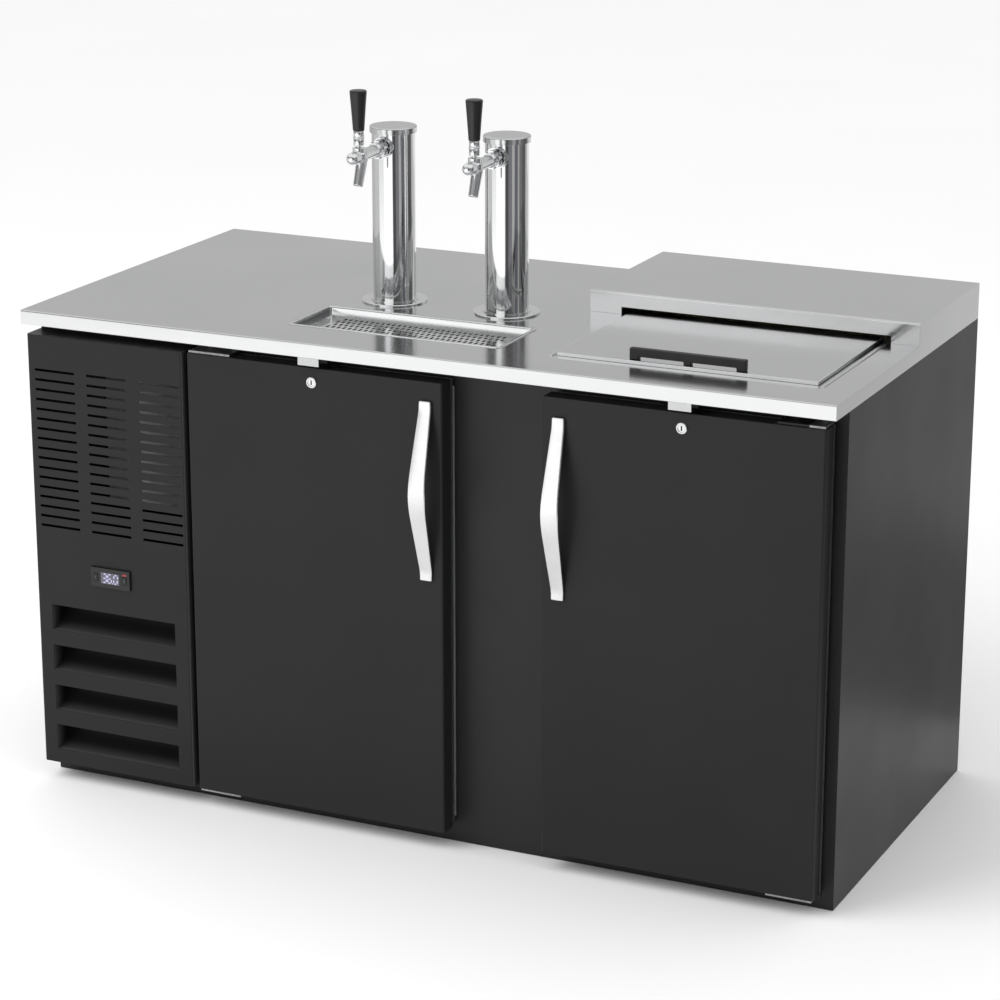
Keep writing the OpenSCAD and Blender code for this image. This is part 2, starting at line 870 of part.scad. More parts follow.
// Space in which the lid and its runners lie, between two heights
module lid_bay(z0, z1, grow) {
  box([lid_x - lid_bay_w / 2 - runner_t - grow, bay_y0 - grow, z0],
      [lid_x + lid_bay_w / 2 + runner_t + grow, bay_y1 + grow, z1]);
}

// Insulated core under the worktop, in slabs round the chase, the lid's bay and its well
module worktop_core() {
  g = seat_gap;
  z_top = top_h - top_sheet;
  z_rim = rim_z + top_sheet;
  x0 = x_left + bend_r;
  x1 = x_right - bend_r;
  y0 = cold_y0;
  y1 = y_back - bend_r;
  chase_x0 = tray_x - pan_w / 2 - chase_gap;
  chase_x1 = tray_x + pan_w / 2 + chase_gap;
  chase_y0 = tray_y0 + tray_rim - chase_gap;
  bay_x0 = lid_x - lid_bay_w / 2 - runner_t - g;
  bay_x1 = lid_x + lid_bay_w / 2 + runner_t + g;
  bay_front = bay_y0 - g;
  bay_rear = bay_y1 + g;
  well_x0 = lid_x - well_w / 2 - g;
  well_x1 = lid_x + well_w / 2 + g;
  color("khaki") {
    box([x0, y_nose + bend_r, z_rim], [x1, y0 - g, z_top]);
    box([x0, y0, z_rim], [partition_x, y1, z_top]);
    for (at = [
      [partition_x + g, chase_x0, y0, y1], [chase_x0 + g, chase_x1 - g, y0, chase_y0],
      [chase_x0 + g, chase_x1 - g, chase_y1, y1], [chase_x1, bay_x0, y0, y1],
      [bay_x0 + g, bay_x1 - g, y0, bay_front], [bay_x0 + g, bay_x1 - g, bay_rear, y1], [bay_x1, x1, y0, y1]
    ]) {
      box([at[0], at[2], cold_z1], [at[1], at[3], z_top]);
    }
    for (at = [
      [bay_x0 + g, well_x0, bay_front + g, bay_rear - g], [well_x1, bay_x1 - g, bay_front + g, bay_rear - g],
      [well_x0 + g, well_x1 - g, bay_front + g, well_y0 - g], [well_x0 + g, well_x1 - g, well_y1 + g, bay_rear - g]
    ]) {
      box([at[0], at[2], cold_z1], [at[1], at[3], ledge_top - runner_t - g]);
    }
  }
}

// Raised hood that the lid slides into, with a slot at the foot of its front
module lid_hood() {
  d = y_back - hood_y0;
  slot_w2 = lid_bay_w / 2 + slot_side;
  color("#b4b4b4") difference() {
    union() {
      along_x(x_right - hood_w, hood_w) translate([hood_y0, top_h]) folded_section(d, hood_h, top_sheet, bend_r);
      for (x = [x_right - hood_w, x_right - top_sheet]) {
        along_x(x, top_sheet) translate([hood_y0, top_h]) end_section(d, hood_h, bend_r);
      }
    }
    box([lid_x - slot_w2, hood_y0 - cut, top_h - cut], [lid_x + slot_w2, hood_y0 + 2 * top_sheet, top_h + slot_open_h]);
  }
}

// Two runners with a ledge under the lid and a rim on the worktop in front of the hood
module lid_runners() {
  rim_t = 1.2;
  color("#c8c8c8") for (side = [left, right]) {
    translate([lid_x, 0, 0]) mirror([side == left ? 1 : 0, 0, 0]) {
      x0 = lid_bay_w / 2;
      box([x0 - ledge_w, bay_y0 + seat_gap, ledge_top - runner_t], [x0 + runner_t - seat_gap, bay_y1 - seat_gap, ledge_top]);
      box([x0, bay_y0 + seat_gap, ledge_top - runner_t], [x0 + runner_t - seat_gap, bay_y1 - seat_gap, top_h]);
      box([x0, bay_y0 + seat_gap, top_h], [x0 + runner_t + runner_rim, hood_y0 - seat_gap, top_h + rim_t]);
      box([x0, bay_y0 + seat_gap, top_h - cut], [x0 + runner_t - seat_gap, hood_y0 - seat_gap, top_h + rim_t]);
    }
  }
}

// Sliding lid: a shallow pan with folded edges
module lid_panel() {
  color("#b8b8b8") difference() {
    box([lid_x - lid_w / 2, lid_y0, lid_z0], [lid_x + lid_w / 2, lid_y0 + lid_d, lid_top]);
    box([lid_x - lid_w / 2 + top_sheet, lid_y0 + top_sheet, lid_z0 - cut],
        [lid_x + lid_w / 2 - top_sheet, lid_y0 + lid_d - top_sheet, lid_top - top_sheet]);
  }
}

// Bar handle of the lid: a bar on two legs and a narrower middle one
module lid_handle() {
  y0 = lid_y0 + lid_handle_back;
  middle_w = 13;
  z1 = lid_top + lid_handle_h;
  color("#2a2a2a") {
    translate([lid_x - lid_handle_w / 2, y0, z1 - lid_bar_t]) bar_rounded(lid_handle_w, lid_handle_d, lid_bar_t, 2);
    for (x = [lid_x - lid_handle_w / 2, lid_x + lid_handle_w / 2 - lid_leg_w]) {
      box([x, y0, lid_top], [x + lid_leg_w, y0 + lid_handle_d, z1 - lid_bar_t / 2]);
    }
    box([lid_x - middle_w / 2, y0, lid_top], [lid_x + middle_w / 2, y0 + lid_handle_d, z1 - lid_bar_t / 2]);
  }
}

// Bar along X whose upper long edges are rounded
module bar_rounded(l, d, h, r) {
  along_x(0, l) end_section(d, h, r);
}

// Drip tray

// Recessed pan with a flat rim and a drain hole
module drip_pan() {
  z0 = top_h - tray_depth;
  y0 = tray_y0 + tray_rim;
  color("#c0c0c0") difference() {
    union() {
      box([tray_x - tray_w / 2, tray_y0, top_h], [tray_x + tray_w / 2, tray_y0 + tray_d, top_h + tray_sheet]);
      box([tray_x - pan_w / 2, y0, z0], [tray_x + pan_w / 2, y0 + pan_d, top_h + tray_sheet]);
    }
    box([tray_x - pan_w / 2 + tray_sheet, y0 + tray_sheet, z0 + tray_sheet],
        [tray_x + pan_w / 2 - tray_sheet, y0 + pan_d - tray_sheet, top_h + 2 * tray_sheet]);
    drain_place() translate([0, 0, -cut]) cylinder(h = tray_sheet + 2 * cut, r = drain_r + drain_t + seat_gap);
  }
}

module drain_place() {
  translate([tray_x, tray_y0 + tray_d / 2, top_h - tray_depth]) children();
}

// Drain tailpiece: a flanged tube with a lock nut under the tray and a plain end for a hose
module drain_tailpiece() {
  r = drain_r + drain_t;
  flange = 4;
  flange_h = 1.5;
  lock_nut_h = 7;
  color("#9a9a9a") drain_place() difference() {
    union() {
      translate([0, 0, -drain_l]) cylinder(h = drain_l + tray_sheet + flange_h, r = r);
      translate([0, 0, tray_sheet]) cylinder(h = flange_h, r = r + flange);
      translate([0, 0, -lock_nut_h]) cylinder(h = lock_nut_h, r = r + flange, $fn = 6);
    }
    translate([0, 0, -drain_l - cut]) cylinder(h = drain_l + tray_sheet + flange_h + 3 * cut, r = drain_r);
  }
}

// Lift-out grid with staggered slots, standing on four feet in the pan
module drip_grid() {
  gap = 1;
  w = pan_w - 2 * tray_sheet - 2 * gap;
  d = pan_d - 2 * tray_sheet - 2 * gap;
  margin = 8;
  side_margin = 30;
  foot_r = 4;
  z1 = top_h - grid_drop;
  z0 = z1 - grid_t;
  foot_z = top_h - tray_depth + tray_sheet;
  cols = floor((w - 2 * side_margin - grid_slot_w) / grid_pitch);
  rows = floor((d - 2 * margin - grid_slot_l) / grid_row_pitch);
  color("#bdbdbd") translate([tray_x, tray_y0 + tray_d / 2, 0]) {
    translate([0, 0, z0]) linear_extrude(grid_t) difference() {
      square([w, d], center = true);
      for (j = [0:rows]) {
        shift = j % 2 == 0 ? 0 : 0.5;
        for (i = [0:cols - (j % 2)]) {
          translate([(i + shift - cols / 2) * grid_pitch, (j - rows / 2) * grid_row_pitch])
            square([grid_slot_w, grid_slot_l], center = true);
        }
      }
    }
    for (x = [-w / 2 + margin / 2, w / 2 - margin / 2], y = [-d / 2 + margin / 2, d / 2 - margin / 2]) {
      translate([x, y, foot_z + seat_gap]) cylinder(h = z0 - foot_z, r = foot_r);
    }
  }
}

// Machine bay

// Grille panel: a pan with air slots above and curved scoops below
module front_grille() {
  w = bay_w - 2 * grille_edge;
  d = y_front - y_face;
  color("#303030") translate([x_left + grille_edge, y_face, door_bottom]) {
    difference() {
      front_pan(w, d, door_h, door_r, sheet);
      for (i = [0:slot_cols - 1], k = [0:slot_rows - 1]) {
        x = w / 2 + slot_shift + (i - (slot_cols - 1) / 2) * slot_col_pitch;
        translate([x - slot_w / 2, -cut, door_h - slot_drop - k * slot_pitch - slot_h / 2])
          cube([slot_w, sheet + 2 * cut, slot_h]);
      }
      for (k = [0:louvre_count - 1]) {
        translate([w / 2 - louvre_w / 2, -cut, louvre_rise + k * louvre_pitch])
          cube([louvre_w, sheet + 2 * cut, louvre_h]);
      }
      translate([w / 2 - thermo_body_w / 2 - seat_gap, -cut, thermostat_rise - thermo_body_h / 2 - seat_gap])
        cube([thermo_body_w + 2 * seat_gap, sheet + 2 * cut, thermo_body_h + 2 * seat_gap]);
    }
    for (k = [0:louvre_count - 1]) {
      translate([0, 0, louvre_rise + k * louvre_pitch]) scoop(w / 2 - louvre_w / 2);
    }
  }
}

// One scoop: a curved blade that starts flush at the opening's foot, with a cheek at each end
module scoop(x0) {
  z0 = louvre_h - sheet / 3;
  blade_lip = 2;
  along_x(x0 - sheet, louvre_w + 2 * sheet) translate([0, z0]) difference() {
    sector(louvre_h + sheet, louvre_sweep);
    circle(louvre_h);
  }
  for (x = [x0 - sheet, x0 + louvre_w]) {
    along_x(x, sheet) translate([0, z0]) sector(louvre_h + sheet / 2, louvre_sweep - blade_lip);
  }
}

// Sector of a circle that opens from straight down towards the back
module sector(r, sweep) {
  intersection() {
    circle(r);
    polygon([[0, 0], [0, -2 * r], [2 * r * sin(sweep), -2 * r], [2 * r * sin(sweep), -2 * r * cos(sweep)]]);
  }
}

// Thermostat: a bezel on the panel and a body behind it, with pockets for display and keys
module thermostat_housing() {
  lens_t = 1.5;
  color("#1c1c1c") translate([thermo_x, y_face, thermo_z]) difference() {
    union() {
      box([-bezel_w / 2, -bezel_t, -bezel_h / 2], [bezel_w / 2, 0, bezel_h / 2]);
      box([-thermo_body_w / 2, -cut, -thermo_body_h / 2], [thermo_body_w / 2, thermostat_d, thermo_body_h / 2]);
    }
    box([-display_w / 2, -bezel_t - cut, -display_h / 2], [display_w / 2, -bezel_t + lens_t, display_h / 2]);
    for (side = [left, right]) {
      key_pocket(side);
    }
  }
}

module key_pocket(side) {
  depth = key_t - key_proud + key_travel + move_gap;
  translate([side * key_x, 0, 0])
    box([-key_w / 2 - move_gap, -bezel_t - cut, -key_h / 2 - move_gap],
        [key_w / 2 + move_gap, -bezel_t + depth, key_h / 2 + move_gap]);
}

module thermostat_display() {
  lens_t = 1.5;
  color("#c9c6e6") translate([thermo_x, y_face - bezel_t, thermo_z])
    box([-display_w / 2 + seat_gap, 0, -display_h / 2 + seat_gap],
        [display_w / 2 - seat_gap, lens_t, display_h / 2 - seat_gap]);
}

module thermostat_key(side) {
  color("#3a3a3a") translate([thermo_x + side * key_x, y_face - bezel_t - key_proud, thermo_z])
    box([-key_w / 2, 0, -key_h / 2], [key_w / 2, key_t, key_h / 2]);
}

// Compressor: a welded can on a foot plate with rubber feet and a terminal box
module compressor() {
  dome = 34;
  plate_w = comp_plate_w;
  plate_t = 3;
  foot_r = 11;
  color("#1a1a1a") translate([bay_x, comp_y, 0]) {
    translate([0, 0, comp_z0]) rotate_extrude() {
      square([comp_r, comp_h - dome]);
      translate([0, comp_h - dome]) square([comp_r - dome, dome]);
      translate([comp_r - dome, comp_h - dome]) intersection() {
        circle(dome);
        square(dome);
      }
    }
    translate([-plate_w / 2, -plate_w / 2, comp_z0 - plate_t]) cube([plate_w, plate_w, plate_t + cut]);
    for (x = [-1, 1], y = [-1, 1]) {
      translate([x * (plate_w / 2 - foot_r), y * (plate_w / 2 - foot_r), base_t])
        cylinder(h = comp_foot_h - plate_t + cut, r = foot_r);
    }
    translate([-30, -comp_r - 22, comp_z0 + 50]) cube([60, 40, 70]);
    for (at = comp_stubs) {
      translate([at[0], at[1], comp_z0 + comp_h - cut]) cylinder(h = comp_stub_l + cut, r = pipe_r + 1);
    }
  }
}

// Pipe stubs on the compressor's crown, and the height of their ends
comp_stubs = [[-24, -20], [24, 20]];
comp_stub_l = 18;
comp_stub_z = comp_z0 + comp_h + comp_stub_l;

// Condenser coil standing on two feet behind the louvres
module condenser_coil() {
  foot_w = 20;
  color("#6d6d6d") {
    translate([bay_x - cond_w / 2, cond_y0, cond_z0]) coil(cond_w, cond_d, cond_h, cond_fins, cond_rows);
    for (x = [bay_x - cond_w / 2, bay_x + cond_w / 2 - foot_w]) {
      box([x, cond_y0, base_t], [x + foot_w, cond_y0 + cond_d, cond_z0 + cut]);
    }
  }
}

// Shroud plate behind the condenser with a ring round the fan
module fan_shroud() {
  ring_l = 26;
  ring_r = cond_fan_r + fan_tip_gap;
  foot = 24;
  color("#3c3c3c") difference() {
    union() {
      box([bay_x - cond_w / 2, shroud_y, base_t], [bay_x + cond_w / 2, shroud_y + shroud_t, cond_z0 + cond_h]);
      box([bay_x - cond_w / 2, shroud_y, base_t], [bay_x + cond_w / 2, shroud_y + foot, base_t + shroud_t]);
      translate([bay_x, shroud_y, cond_fan_z]) rotate([-90, 0, 0]) cylinder(h = ring_l, r = ring_r + shroud_t);
    }
    translate([bay_x, shroud_y - cut, cond_fan_z]) rotate([-90, 0, 0]) cylinder(h = ring_l + 2 * cut, r = ring_r);
    leg_room();
  }
}

// Places the condenser fan, blowing to the back, with +Z to the front
module at_cond_fan() {
  translate([bay_x, cond_fan_y + fan_hub_l, cond_fan_z]) rotate([90, 0, 0]) children();
}

// Places the evaporator fan, blowing into the cold space, with +Z along +X
module at_evap_fan() {
  translate([evap_x0 + evap_w - fan_hub_l - evap_fan_gap, evap_fan_y, evap_fan_z]) rotate([0, 90, 0]) children();
}

// Both fan motors with their three-armed brackets
module fan_motors() {
  cond_arm_r = cond_fan_r + fan_tip_gap + shroud_t + motor_arm_t + arm_gap;
  cond_arm_l = cond_fan_y + fan_hub_l + motor_gap + motor_l - shroud_y - shroud_t;
  evap_arm_r = evap_fan_r + fan_tip_gap + motor_arm_t + arm_gap;
  evap_arm_l = fan_hub_l + evap_fan_gap - evap_sheet + motor_gap + motor_l;
  color("#4a4a4a") {
    at_cond_fan() fan_motor(cond_arm_r, cond_arm_l);
    at_evap_fan() fan_motor(evap_arm_r, evap_arm_l);
  }
}

module condenser_fan() {
  color("#8a8f94") at_cond_fan() fan(cond_fan_r);
}

module evaporator_fan() {
  color("#202428") at_evap_fan() fan(evap_fan_r);
}

// Evaporator coil with a bracket on the liner
module evaporator_coil() {
  color("#b9bec2") {
    translate([coil_x + coil_w, coil_y0, coil_z1 - coil_h]) rotate([0, 0, 90])
      coil(coil_d, coil_w, coil_h, evap_fins, evap_rows);
    for (y = [evap_y0 + 30, evap_y1 - 42]) {
      box([evap_x0 + seat_gap, y, coil_z1 - coil_h], [coil_x + fin_t, y + 12, coil_z1]);
    }
  }
}

// Sheet cover over coil and fan, open to the liner and louvred below the fan
module evaporator_cover() {
  inlet_w = 9;
  inlets = 9;
  color("#e4e4e4") difference() {
    box([evap_x0 + seat_gap, evap_y0, evap_z0], [evap_x0 + evap_w, evap_y1, evap_z1]);
    box([evap_x0 - cut, evap_y0 + evap_sheet, evap_z0 + evap_sheet],
        [evap_x0 + evap_w - evap_sheet, evap_y1 - evap_sheet, evap_z1 - evap_sheet]);
    translate([evap_x0 + evap_w - evap_sheet - cut, evap_fan_y, evap_fan_z]) rotate([0, 90, 0])
      guard_gaps(evap_fan_r + fan_tip_gap, evap_sheet + 2 * cut);
    for (i = [0:inlets - 1]) {
      y = evap_y0 + (i + 0.5) * evap_d / inlets - inlet_w / 2;
      box([evap_x0 + evap_w / 2, y, coil_z1 - coil_h], [evap_x0 + evap_w + cut, y + inlet_w, coil_z1]);
    }
  }
}

// Ring-shaped gaps of a fan guard, crossed by four spokes
module guard_gaps(r, h) {
  rings = 5;
  wire = 3;
  hub = 16;
  step = (r - hub) / rings;
  difference() {
    for (i = [0:rings - 1]) {
      difference() {
        cylinder(h = h, r = hub + (i + 1) * step - wire / 2);
        translate([0, 0, -cut]) cylinder(h = h + 2 * cut, r = hub + i * step + wire / 2);
      }
    }
    for (a = [0, 90]) {
      rotate(a) translate([-r, -wire, -cut]) cube([2 * r, 2 * wire, h + 2 * cut]);
    }
  }
}

// Copper pipes from compressor to condenser and through the partition to the evaporator
module refrigerant_lines() {
  x_end = bay_x + cond_w / 2;
  x_side = x_end + 2 * pipe_r;
  x_riser = x_end - 2 * pipe_r;
  y_end = cond_y0 + cond_d / 2;
  z_top = cond_z0 + (cond_rows - 0.5) * cond_h / cond_rows;
  z_low = cond_z0 + 0.5 * cond_h / cond_rows;
  z_run = comp_stub_z + 60;
  y_riser = shroud_y + 40;
  high = port_z + port_r / 2;
  low = port_z - port_r / 2;
  hot = [bay_x + comp_stubs[0][0], comp_y + comp_stubs[0][1]];
  cold = [bay_x + comp_stubs[1][0], comp_y + comp_stubs[1][1]];
  x_coil = coil_x + coil_w / 2;
  row = coil_h / evap_rows;
  color("#b87333") {
    pipe([[hot[0], hot[1], comp_stub_z], [hot[0], hot[1], z_run], [x_side, hot[1], z_run],
          [x_side, y_end, z_run], [x_side, y_end, z_top], [x_end, y_end, z_top]], pipe_r);
    pipe([[x_end, y_end, z_low], [x_side, y_end, z_low], [x_side, y_riser, z_low],
          [x_riser, y_riser, z_low], [x_riser, y_riser, high], [x_riser, port_y, high],
          [x_coil, port_y, high], [x_coil, port_y, port_z + row], [x_coil, coil_y0, port_z + row]], liquid_r);
    pipe([[cold[0], cold[1], comp_stub_z], [cold[0], cold[1], low], [cold[0], port_y, low],
          [x_coil, port_y, low], [x_coil, port_y, port_z - row], [x_coil, coil_y0, port_z - row]], pipe_r);
  }
}

// Towers and faucets

// Chromed column welded to its base flange, drilled for the shank
module tower_column(side) {
  round_r = 1.4;
  weld_w = 4;
  weld_h = 1.5;
  color("#d8d8d8") at_tower(side) difference() {
    union() {
      rotate_extrude() {
        square([flange_r, flange_t - round_r]);
        square([flange_r - round_r, flange_t]);
        translate([flange_r - round_r, flange_t - round_r]) circle(round_r);
        translate([column_r - cut, 0]) square([weld_w + cut, flange_t + weld_h]);
      }
      cylinder(h = column_h, r = column_r);
    }
    translate([0, 0, -cut]) cylinder(h = column_h + 2 * cut, r = column_r - column_t);
    translate([0, 0, shank_rise]) rotate([90, 0, 0]) cylinder(h = 2 * column_r, r = shank_r + seat_gap);
  }
}

// Flat cap with a rounded edge and a plug in the column
module tower_cap(side) {
  round_r = 2.5;
  color("#c4c4c4") at_tower(side) translate([0, 0, column_h]) {
    rotate_extrude() {
      square([cap_r, cap_h - round_r]);
      square([cap_r - round_r, cap_h]);
      translate([cap_r - round_r, cap_h - round_r]) circle(round_r);
    }
    translate([0, 0, -plug_h]) cylinder(h = plug_h + cut, r = column_r - column_t - seat_gap);
  }
}

// Shank through the column: collar outside, hex nut inside, coupling nut in front, tail at the rear
module faucet_shank(side) {
  tail_l = 18;
  rear = 8;
  nut_t = 7;
  notch = 3;
  color("#cfcfcf") at_tower(side) translate([0, 0, shank_rise]) difference() {
    union() {
      translate([0, rear, 0]) rotate([90, 0, 0]) cylinder(h = rear + faucet_start, r = shank_r);
      translate([0, rear + tail_l, 0]) rotate([90, 0, 0]) cylinder(h = tail_l + cut, r = beer_r + 1.5);
      difference() {
        rotate([90, 0, 0]) cylinder(h = column_r + 9, r = collar_r);
        translate([0, 0, -2 * collar_r]) cylinder(h = 4 * collar_r, r = column_r + seat_gap);
      }
      intersection() {
        translate([0, -column_r + 9 + column_t + 3, 0]) rotate([90, 0, 0]) cylinder(h = nut_t + 9, r = nut_r, $fn = 6);
        translate([0, 0, -2 * nut_r]) cylinder(h = 4 * nut_r, r = column_r - column_t - seat_gap);
      }
      translate([0, -faucet_start + nut_l, 0]) rotate([90, 0, 0]) difference() {
        cylinder(h = nut_l, r = nut_r);
        for (a = [0:60:300]) {
          rotate(a) translate([nut_r, 0, -cut]) cylinder(h = nut_l + 2 * cut, r = notch);
        }
      }
    }
    translate([0, rear + tail_l + cut, 0]) rotate([90, 0, 0])
      cylinder(h = rear + tail_l + faucet_start + 2 * cut, r = beer_r);
  }
}

// Faucet body: bored barrel, bonnet for the lever's ball and a tilted spout
module faucet_body(side) {
  swing_cuts = 3;
  boss_r = 13;
  boss_l = 6;
  color("#d6d6d6") at_faucet(side) difference() {
    union() {
      cylinder(h = boss_l, r = boss_r);
      cylinder(h = boss_l + 3, r1 = boss_r, r2 = barrel_r);
      cylinder(h = faucet_l - barrel_r, r = barrel_r);
      translate([0, 0, faucet_l - barrel_r]) sphere(barrel_r);
      translate([0, 0, lever_at]) sphere(barrel_r + 3);
      translate([0, 0, lever_at]) rotate([-90, 0, 0]) cylinder(h = bonnet_h, r = bonnet_r);
      spout_place() cylinder(h = spout_l, r1 = spout_r + 1, r2 = spout_r - 0.5);
    }
    translate([0, 0, -cut]) cylinder(h = lever_at + 14 + cut, r = barrel_bore_r);
    translate([0, pivot_rise, lever_at]) sphere(ball_r + run_gap);
    for (i = [0:swing_cuts]) {
      translate([0, pivot_rise, lever_at]) rotate([i * lever_swing / swing_cuts - 90, 0, 0])
        cylinder(h = 2 * bonnet_r, r = stem_r + move_gap);
    }
    translate([0, 0, lever_at]) rotate([-90, 0, 0]) cylinder(h = pivot_rise, r = finger_r + 2);
    spout_place() cylinder(h = spout_l + cut, r = spout_bore_r);
  }
}

// Root of the spout on the barrel axis, +Z along the spout
module spout_place() {
  translate([0, 0, spout_at]) rotate([90 - spout_tilt, 0, 0]) children();
}

// Lever: finger, ball, stem and ferrule
module tap_lever(side) {
  color("#d6d6d6") at_faucet(side) translate([0, pivot_rise, lever_at]) rotate([-90, 0, 0]) {
    sphere(ball_r);
    translate([0, 0, -finger_l]) cylinder(h = finger_l, r = finger_r);
    cylinder(h = ferrule_rise - pivot_rise + ferrule_l, r = stem_r);
    translate([0, 0, ferrule_rise - pivot_rise]) cylinder(h = ferrule_l, r = ferrule_r);
    translate([0, 0, ferrule_rise - pivot_rise + ferrule_l / 2]) cylinder(h = 3, r = ferrule_r + 1);
  }
}

// Tap handle: a flared grip on the ferrule
module tap_handle(side) {
  top_round = 2;
  color("#1e1e1e") at_faucet(side) translate([0, ferrule_rise + ferrule_l, lever_at]) rotate([-90, 0, 0]) rotate_extrude() {
    polygon([[0, 0], [tap_low_r - 1, 0], [tap_low_r, 1], [tap_top_r, tap_h - top_round], [0, tap_h - top_round]]);
    translate([0, tap_h - top_round - cut]) square([tap_top_r - top_round, top_round + cut]);
    translate([tap_top_r - top_round, tap_h - top_round]) intersection() {
      circle(top_round);
      square(top_round);
    }
  }
}

// Valve shaft with a slot for the lever's finger, a notched guide and a rear seal
module valve_shaft(side) {
  front = lever_at + 6;
  back = 6;
  slot_l = 4.6;
  guide_at = 26;
  guide_l = 6;
  seal_l = 4;
  color("#caa24a") at_faucet(side) difference() {
    union() {
      translate([0, 0, back]) cylinder(h = front - back, r = shaft_r);
      translate([0, 0, guide_at]) difference() {
        cylinder(h = guide_l, r = barrel_bore_r - run_gap);
        for (a = [30:120:270]) {
          rotate(a) translate([barrel_bore_r, 0, -cut]) cylinder(h = guide_l + 2 * cut, r = 3);
        }
      }
      translate([0, 0, back]) cylinder(h = seal_l, r = barrel_bore_r - move_gap);
    }
    translate([-finger_r - move_gap, -shaft_r + 1, lever_at - slot_l])
      cube([2 * (finger_r + move_gap), 2 * shaft_r, 2 * slot_l]);
  }
}

// Doors

// Painted skin folded on four sides, with hinge bushes, a lock hole and the cam's slot
module door_skin(side) {
  color("#343434") at_door(side) difference() {
    union() {
      front_pan(door_w, skin_return, door_h, door_r, sheet);
      hinge_ends() cylinder(h = pin_l + 2, r = pin_r + run_gap + bush_t);
    }
    hinge_ends() translate([0, 0, -cut]) cylinder(h = pin_l + 1 + cut, r = pin_r + run_gap);
    lock_place() translate([0, 0, -cut]) cylinder(h = 3 * sheet + cut, r = lock_r + run_gap);
    cam_space(2 * lock_drop);
  }
}

// Both hinge ends of a door, +Z into the door
module hinge_ends() {
  translate([pin_inset, pin_inset, 0]) children();
  translate([pin_inset, pin_inset, door_h]) mirror([0, 0, 1]) children();
}

// Lock axis at the door's face, +Z into the door
module lock_place() {
  translate([door_w / 2, 0, door_h - lock_drop]) rotate([-90, 0, 0]) children();
}

// Space swept by the lock's cam, open upward
module cam_space(h) {
  side_gap = 1.5;
  translate([door_w / 2 - cam_w / 2 - side_gap, cam_back - 1, door_h - lock_drop - cam_w / 2 - side_gap])
    cube([cam_w / 2 + cam_l + 2 * side_gap, cam_t + 2, h]);
}

// Foam core of the door
module door_core(side) {
  g = seat_gap;
  color("khaki") at_door(side) difference() {
    translate([sheet + g, sheet + g, sheet + g])
      linear_extrude(door_h - 2 * sheet - 2 * g)
      round_front(door_w - 2 * sheet - 2 * g, door_t - door_liner_t - sheet - 2 * g, door_r);
    liner_edge();
    hinge_ends() translate([0, 0, -cut]) cylinder(h = pin_l + 2 + g + cut, r = pin_r + run_gap + bush_t + g);
    lock_place() cylinder(h = cam_back + cam_t + 1, r = lock_r + move_gap);
    cam_space(2 * lock_drop);
  }
}

// Rim that the foam leaves free for the liner's folded edge
module liner_edge() {
  g = seat_gap;
  inset = 1 + door_liner_t + g;
  difference() {
    translate([-cut, skin_return - g, -cut]) cube([door_w + 2 * cut, door_t, door_h + 2 * cut]);
    translate([inset, skin_return - g - cut, inset]) cube([door_w - 2 * inset, door_t + 2 * cut, door_h - 2 * inset]);
  }
}

// Inner liner: a pan that closes the door's back
module door_liner(side) {
  inset = 1;
  w = door_w - 2 * inset;
  h = door_h - 2 * inset;
  color("#d9d9d9") at_door(side) translate([inset, skin_return, inset]) difference() {
    cube([w, door_t - skin_return, h]);
    translate([door_liner_t, -cut, door_liner_t])
      cube([w - 2 * door_liner_t, door_t - skin_return - door_liner_t + cut, h - 2 * door_liner_t]);
  }
}

// Magnetic gasket frame with a hollow fold along its sides
module door_gasket(side) {
  t = gasket_t - move_gap;
  groove = t / 3;
  i = gasket_inset;
  color("#8c8c8c") at_door(side) translate([0, door_t, 0]) difference() {
    gasket_ring(i, gasket_w, 0, t);
    difference() {
      gasket_ring(i - cut, gasket_w, groove, groove);
      gasket_ring(i + groove, gasket_w, groove - cut, groove + 2 * cut);
    }
  }
}

// Rectangular ring at a distance from the door's edges
module gasket_ring(i, w, y0, t) {
  difference() {
    translate([i, y0, i]) cube([door_w - 2 * i, t, door_h - 2 * i]);
    translate([i + w, y0 - cut, i + w]) cube([door_w - 2 * i - 2 * w, t + 2 * cut, door_h - 2 * i - 2 * w]);
  }
}

// Bow handle: a strap bent outward at its middle, wider there than at its feet
module door_handle(side) {
  mid_z = door_h - handle_drop - handle_h / 2;
  color("#f0f0f0") at_door(side) translate([door_w - handle_inset, 0, mid_z]) intersection() {
    translate([-handle_mid_w, 0, 0]) rotate([90, 0, 90]) linear_extrude(2 * handle_mid_w) strap_section();
    rotate([90, 0, 0]) linear_extrude(2 * handle_out) polygon([
      [-handle_end_w / 2, -handle_h / 2], [handle_end_w / 2, -handle_h / 2], [handle_mid_w / 2, 0],
      [handle_end_w / 2, handle_h / 2], [-handle_end_w / 2, handle_h / 2], [-handle_mid_w / 2, 0]
    ]);
  }
}

// Side view of the strap: feet on the door, straight ramps, a round bend at the middle
module strap_section() {
  difference() {
    intersection() {
      bow(handle_bend_r, handle_out, handle_h / 2);
      translate([-handle_out - cut, -handle_h / 2]) square([handle_out + cut, handle_h]);
    }
    bow(handle_bend_r - handle_t, handle_out - handle_t, ramp_end);
  }
  for (m = [0, 1]) {
    mirror([0, m]) translate([-handle_t, strap_rise]) square([handle_t, handle_foot]);
  }
}

